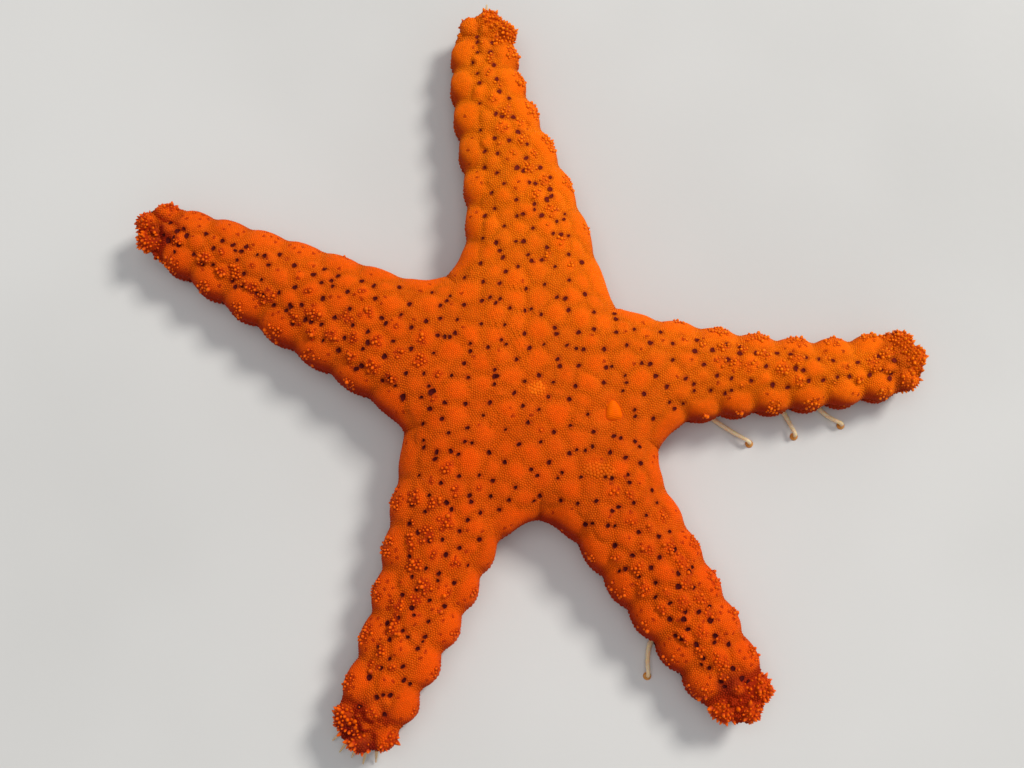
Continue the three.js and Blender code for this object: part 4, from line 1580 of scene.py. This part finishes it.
def groove_feet():
    """Two rows of tube feet in the groove under each arm, drawn in, their suckers just off the ground."""
    parts = []
    random = np.random.default_rng(81)
    radii, sucker = np.array(GROOVE_FOOT_RINGS).T
    for arm in arms:
        for length in np.arange(GROOVE_FEET["first"], arm.end_at + 2.2, GROOVE_FEET["pitch"]):
            for side in (-1, 1):
                aside = left_of(arm.heading(length)) * side * GROOVE_FEET["aside"]
                place = arm.middle(length + GROOVE_FEET["stagger"] * side) + aside
                root = float(arm.roof(length)) - ROOT_BELOW_ROOF
                lean = random.normal(0, 0.12, 2)
                shrink = 0.8 + 0.2 * (1 - length / arm.reach)
                heights = np.array([*(root * share for share in ROOT_SHARES), *END_HEIGHTS])
                sway = np.linspace(0, 1, len(heights))[:, None] * lean
                parts.append(tube(np.column_stack([place + sway, heights]), shrink * radii, 8))
    end = np.concatenate([np.repeat(sucker, 8), [0, 1]])
    return *joined(parts), np.tile(end, len(parts))


points, triangles, ends = groove_feet()
groove_material = foot_look("groove_feet", *GROOVE_FOOT_COLOURS)
make("groove_feet", points, triangles, groove_material, "tube_foot", end=ends)


# ---------------------------------------------------------------- spines by the grooves and the mouth

# the rings of a spine, from its root to its tip: share of its radius, and the value of crown there
SPINE_RINGS = [(0.9, 0), (1.0, 0.3), (0.95, 0.6), (0.8, 0.9), (0.45, 1)]
SPINE_SIDES = 6
SPINE_RADIUS = 0.19
# the two rows on each side of a groove: from the middle line, lean outwards, length, and height of the root
SPINE_ROWS = [(1.72, -0.55, 0.8, UNDERSIDE_HEIGHT + 0.25), (2.35, 0.1, 0.7, UNDERSIDE_HEIGHT + 0.1)]
SPINE_PITCH = 0.95  # of the pairs
SPINE_TWINS = (-0.22, 0.22)  # places of the two of a pair, along the groove
SPINES_FROM = 4.2  # the centre
# the longer spines at each corner of the mouth: how far their bearings are from the crotch's, the distance
# and height of their roots, and their length and radius
MOUTH_TURNS = (-16, -8, 0, 8, 16)
MOUTH_SPINES = {"distance": 3.4, "root": 1.6, "length": 1.3, "radius": 0.24}


def spine(root, direction, length, radius):
    steps = np.linspace(0, length, len(SPINE_RINGS))[:, None]
    path = np.array(root) + unit(np.array(direction, float)) * steps
    return tube(path, radius * np.array(SPINE_RINGS)[:, 0], SPINE_SIDES)


def groove_spines():
    """Short blunt spines in twos along both lips of each groove, and longer ones round the mouth."""
    parts = []
    random = np.random.default_rng(91)
    for arm in arms:
        for length in np.arange(SPINES_FROM, arm.end_at + 1.0, SPINE_PITCH):
            left = left_of(arm.heading(length))
            for side, (aside, lean, size, height), offset in product((-1, 1), SPINE_ROWS, SPINE_TWINS):
                place = arm.middle(length + offset) + left * side * aside
                direction = [*(left * side * lean + random.normal(0, 0.1, 2)), -1]
                parts.append(spine([*place, height], direction, size, SPINE_RADIUS))
        for turn in MOUTH_TURNS:
            place = polar(AXILS[arm.number][0] + turn, MOUTH_SPINES["distance"])
            root, direction = [*place, MOUTH_SPINES["root"]], [*(-place * 0.22), -0.6]
            parts.append(spine(root, direction, MOUTH_SPINES["length"], MOUTH_SPINES["radius"]))
    crown = np.concatenate([np.repeat(np.array(SPINE_RINGS)[:, 1], SPINE_SIDES), [0, 1]])
    tint = np.random.default_rng(92).random(len(parts))
    return *joined(parts), np.tile(crown, len(parts)), np.repeat(tint, len(crown))


points, triangles, crowns, tints = groove_spines()
spine_material = bead_look("spines", SPINE_COLOUR)
make("groove_spines", points, triangles, spine_material, "skin", crown=crowns, tint=tints)

# ---------------------------------------------------------------- feelers at the tips

# letter of the arm: how far each stands to its left, how far it reaches out, and the height of its tip
FILAMENTS = {
    "e": [(-2.6, 0.9, 0.7), (-1.5, 1.2, 0.9), (-0.3, 1.0, 0.6), (0.9, 1.2, 0.9), (2.0, 0.9, 0.6)],
    "b": [(-0.5, 1.1, 2.9), (0.35, 1.6, 3.3)],
}
FILAMENT_RADII = (0.21, 0.08)  # at its root and its tip
FILAMENT_POINTS = 14


def tip_filaments():
    """Pale tapering tube feet that feel forward from the tips of two arms."""
    parts = []
    for letter, places in FILAMENTS.items():
        arm = arm_of[letter]
        forward = arm.heading(arm.end_at)
        left = left_of(forward)
        for aside, reach, lift in places:
            edge = END_LENGTH * math.sqrt(1 - (aside / arm.end) ** 2)
            root = arm.middle(arm.end_at) + left * aside + forward * (edge - 0.5)
            out = forward + left * aside * 0.16
            knots = [
                [*root, lift + 0.7],
                [*(root + out * 0.5 * reach), lift + 0.4],
                [*(root + out * reach), lift],
                [*(root + out * (reach + 0.45)), lift * 0.7],
            ]
            path = curve_through(knots, FILAMENT_POINTS)
            parts.append(tube(path, np.linspace(*FILAMENT_RADII, FILAMENT_POINTS), 10))
    return joined(parts)


points, triangles = tip_filaments()
filament_material = foot_look("filaments", *FILAMENT_COLOURS)
make("tip_filaments", points, triangles, filament_material, "tube_foot", end=np.zeros(len(points)))

# ---------------------------------------------------------------- floor, light and camera

FLOOR_SIZE = 3  # metres
bpy.ops.mesh.primitive_plane_add(size=FLOOR_SIZE)
floor = bpy.context.object
floor.name = "floor"
floor.data.materials.append(floor_look())


# name: place and size in metres, power in watts, and colour
LIGHTS = {
    "key": ((0.86, 0.68, 1.05), 0.4, 17.0, (1.0, 0.97, 0.92)),
    "fill": ((-0.2, 0.0, 1.5), 1.2, 6.2, (0.97, 0.98, 1.0)),
}
SKY_COLOUR = (0.95, 0.97, 1.0, 1)
SKY_STRENGTH = 0.36
# from the centre of the disc, as read from the photo
CAMERA_AT = Vector((-8.581, -26.048, 149.604))
LOOK_AT = Vector((-2.697, 1.636, 4.0))
CAMERA_ANGLE = 45


def area_light(name, place, size, energy, colour):
    data = bpy.data.lights.new(name, "AREA")
    data.size = size
    data.energy = energy
    data.color = colour
    light = bpy.data.objects.new(name, data)
    light.location = place
    light.rotation_euler = (-Vector(place)).to_track_quat("-Z", "Y").to_euler()
    scene.collection.objects.link(light)


for name, values in LIGHTS.items():
    area_light(name, *values)

world = bpy.data.worlds.new("studio")
world.use_nodes = True
sky = world.node_tree.nodes["Background"].inputs
sky["Color"].default_value = SKY_COLOUR
sky["Strength"].default_value = SKY_STRENGTH
scene.world = world
scene.view_settings.view_transform = "Standard"

centre = Vector((*DISC_CENTRE, 0))
camera_data = bpy.data.cameras.new("camera")
camera_data.angle = math.radians(CAMERA_ANGLE)
camera_data.clip_start = 0.01
camera = bpy.data.objects.new("camera", camera_data)
back = (CAMERA_AT - LOOK_AT).normalized()
right = Vector((0, 1, 0)).cross(back).normalized()
upward = back.cross(right)
turn = Matrix((right, upward, back)).transposed().to_4x4()
camera.matrix_world = Matrix.Translation((CAMERA_AT + centre) * MM) @ turn
scene.collection.objects.link(camera)
scene.camera = camera
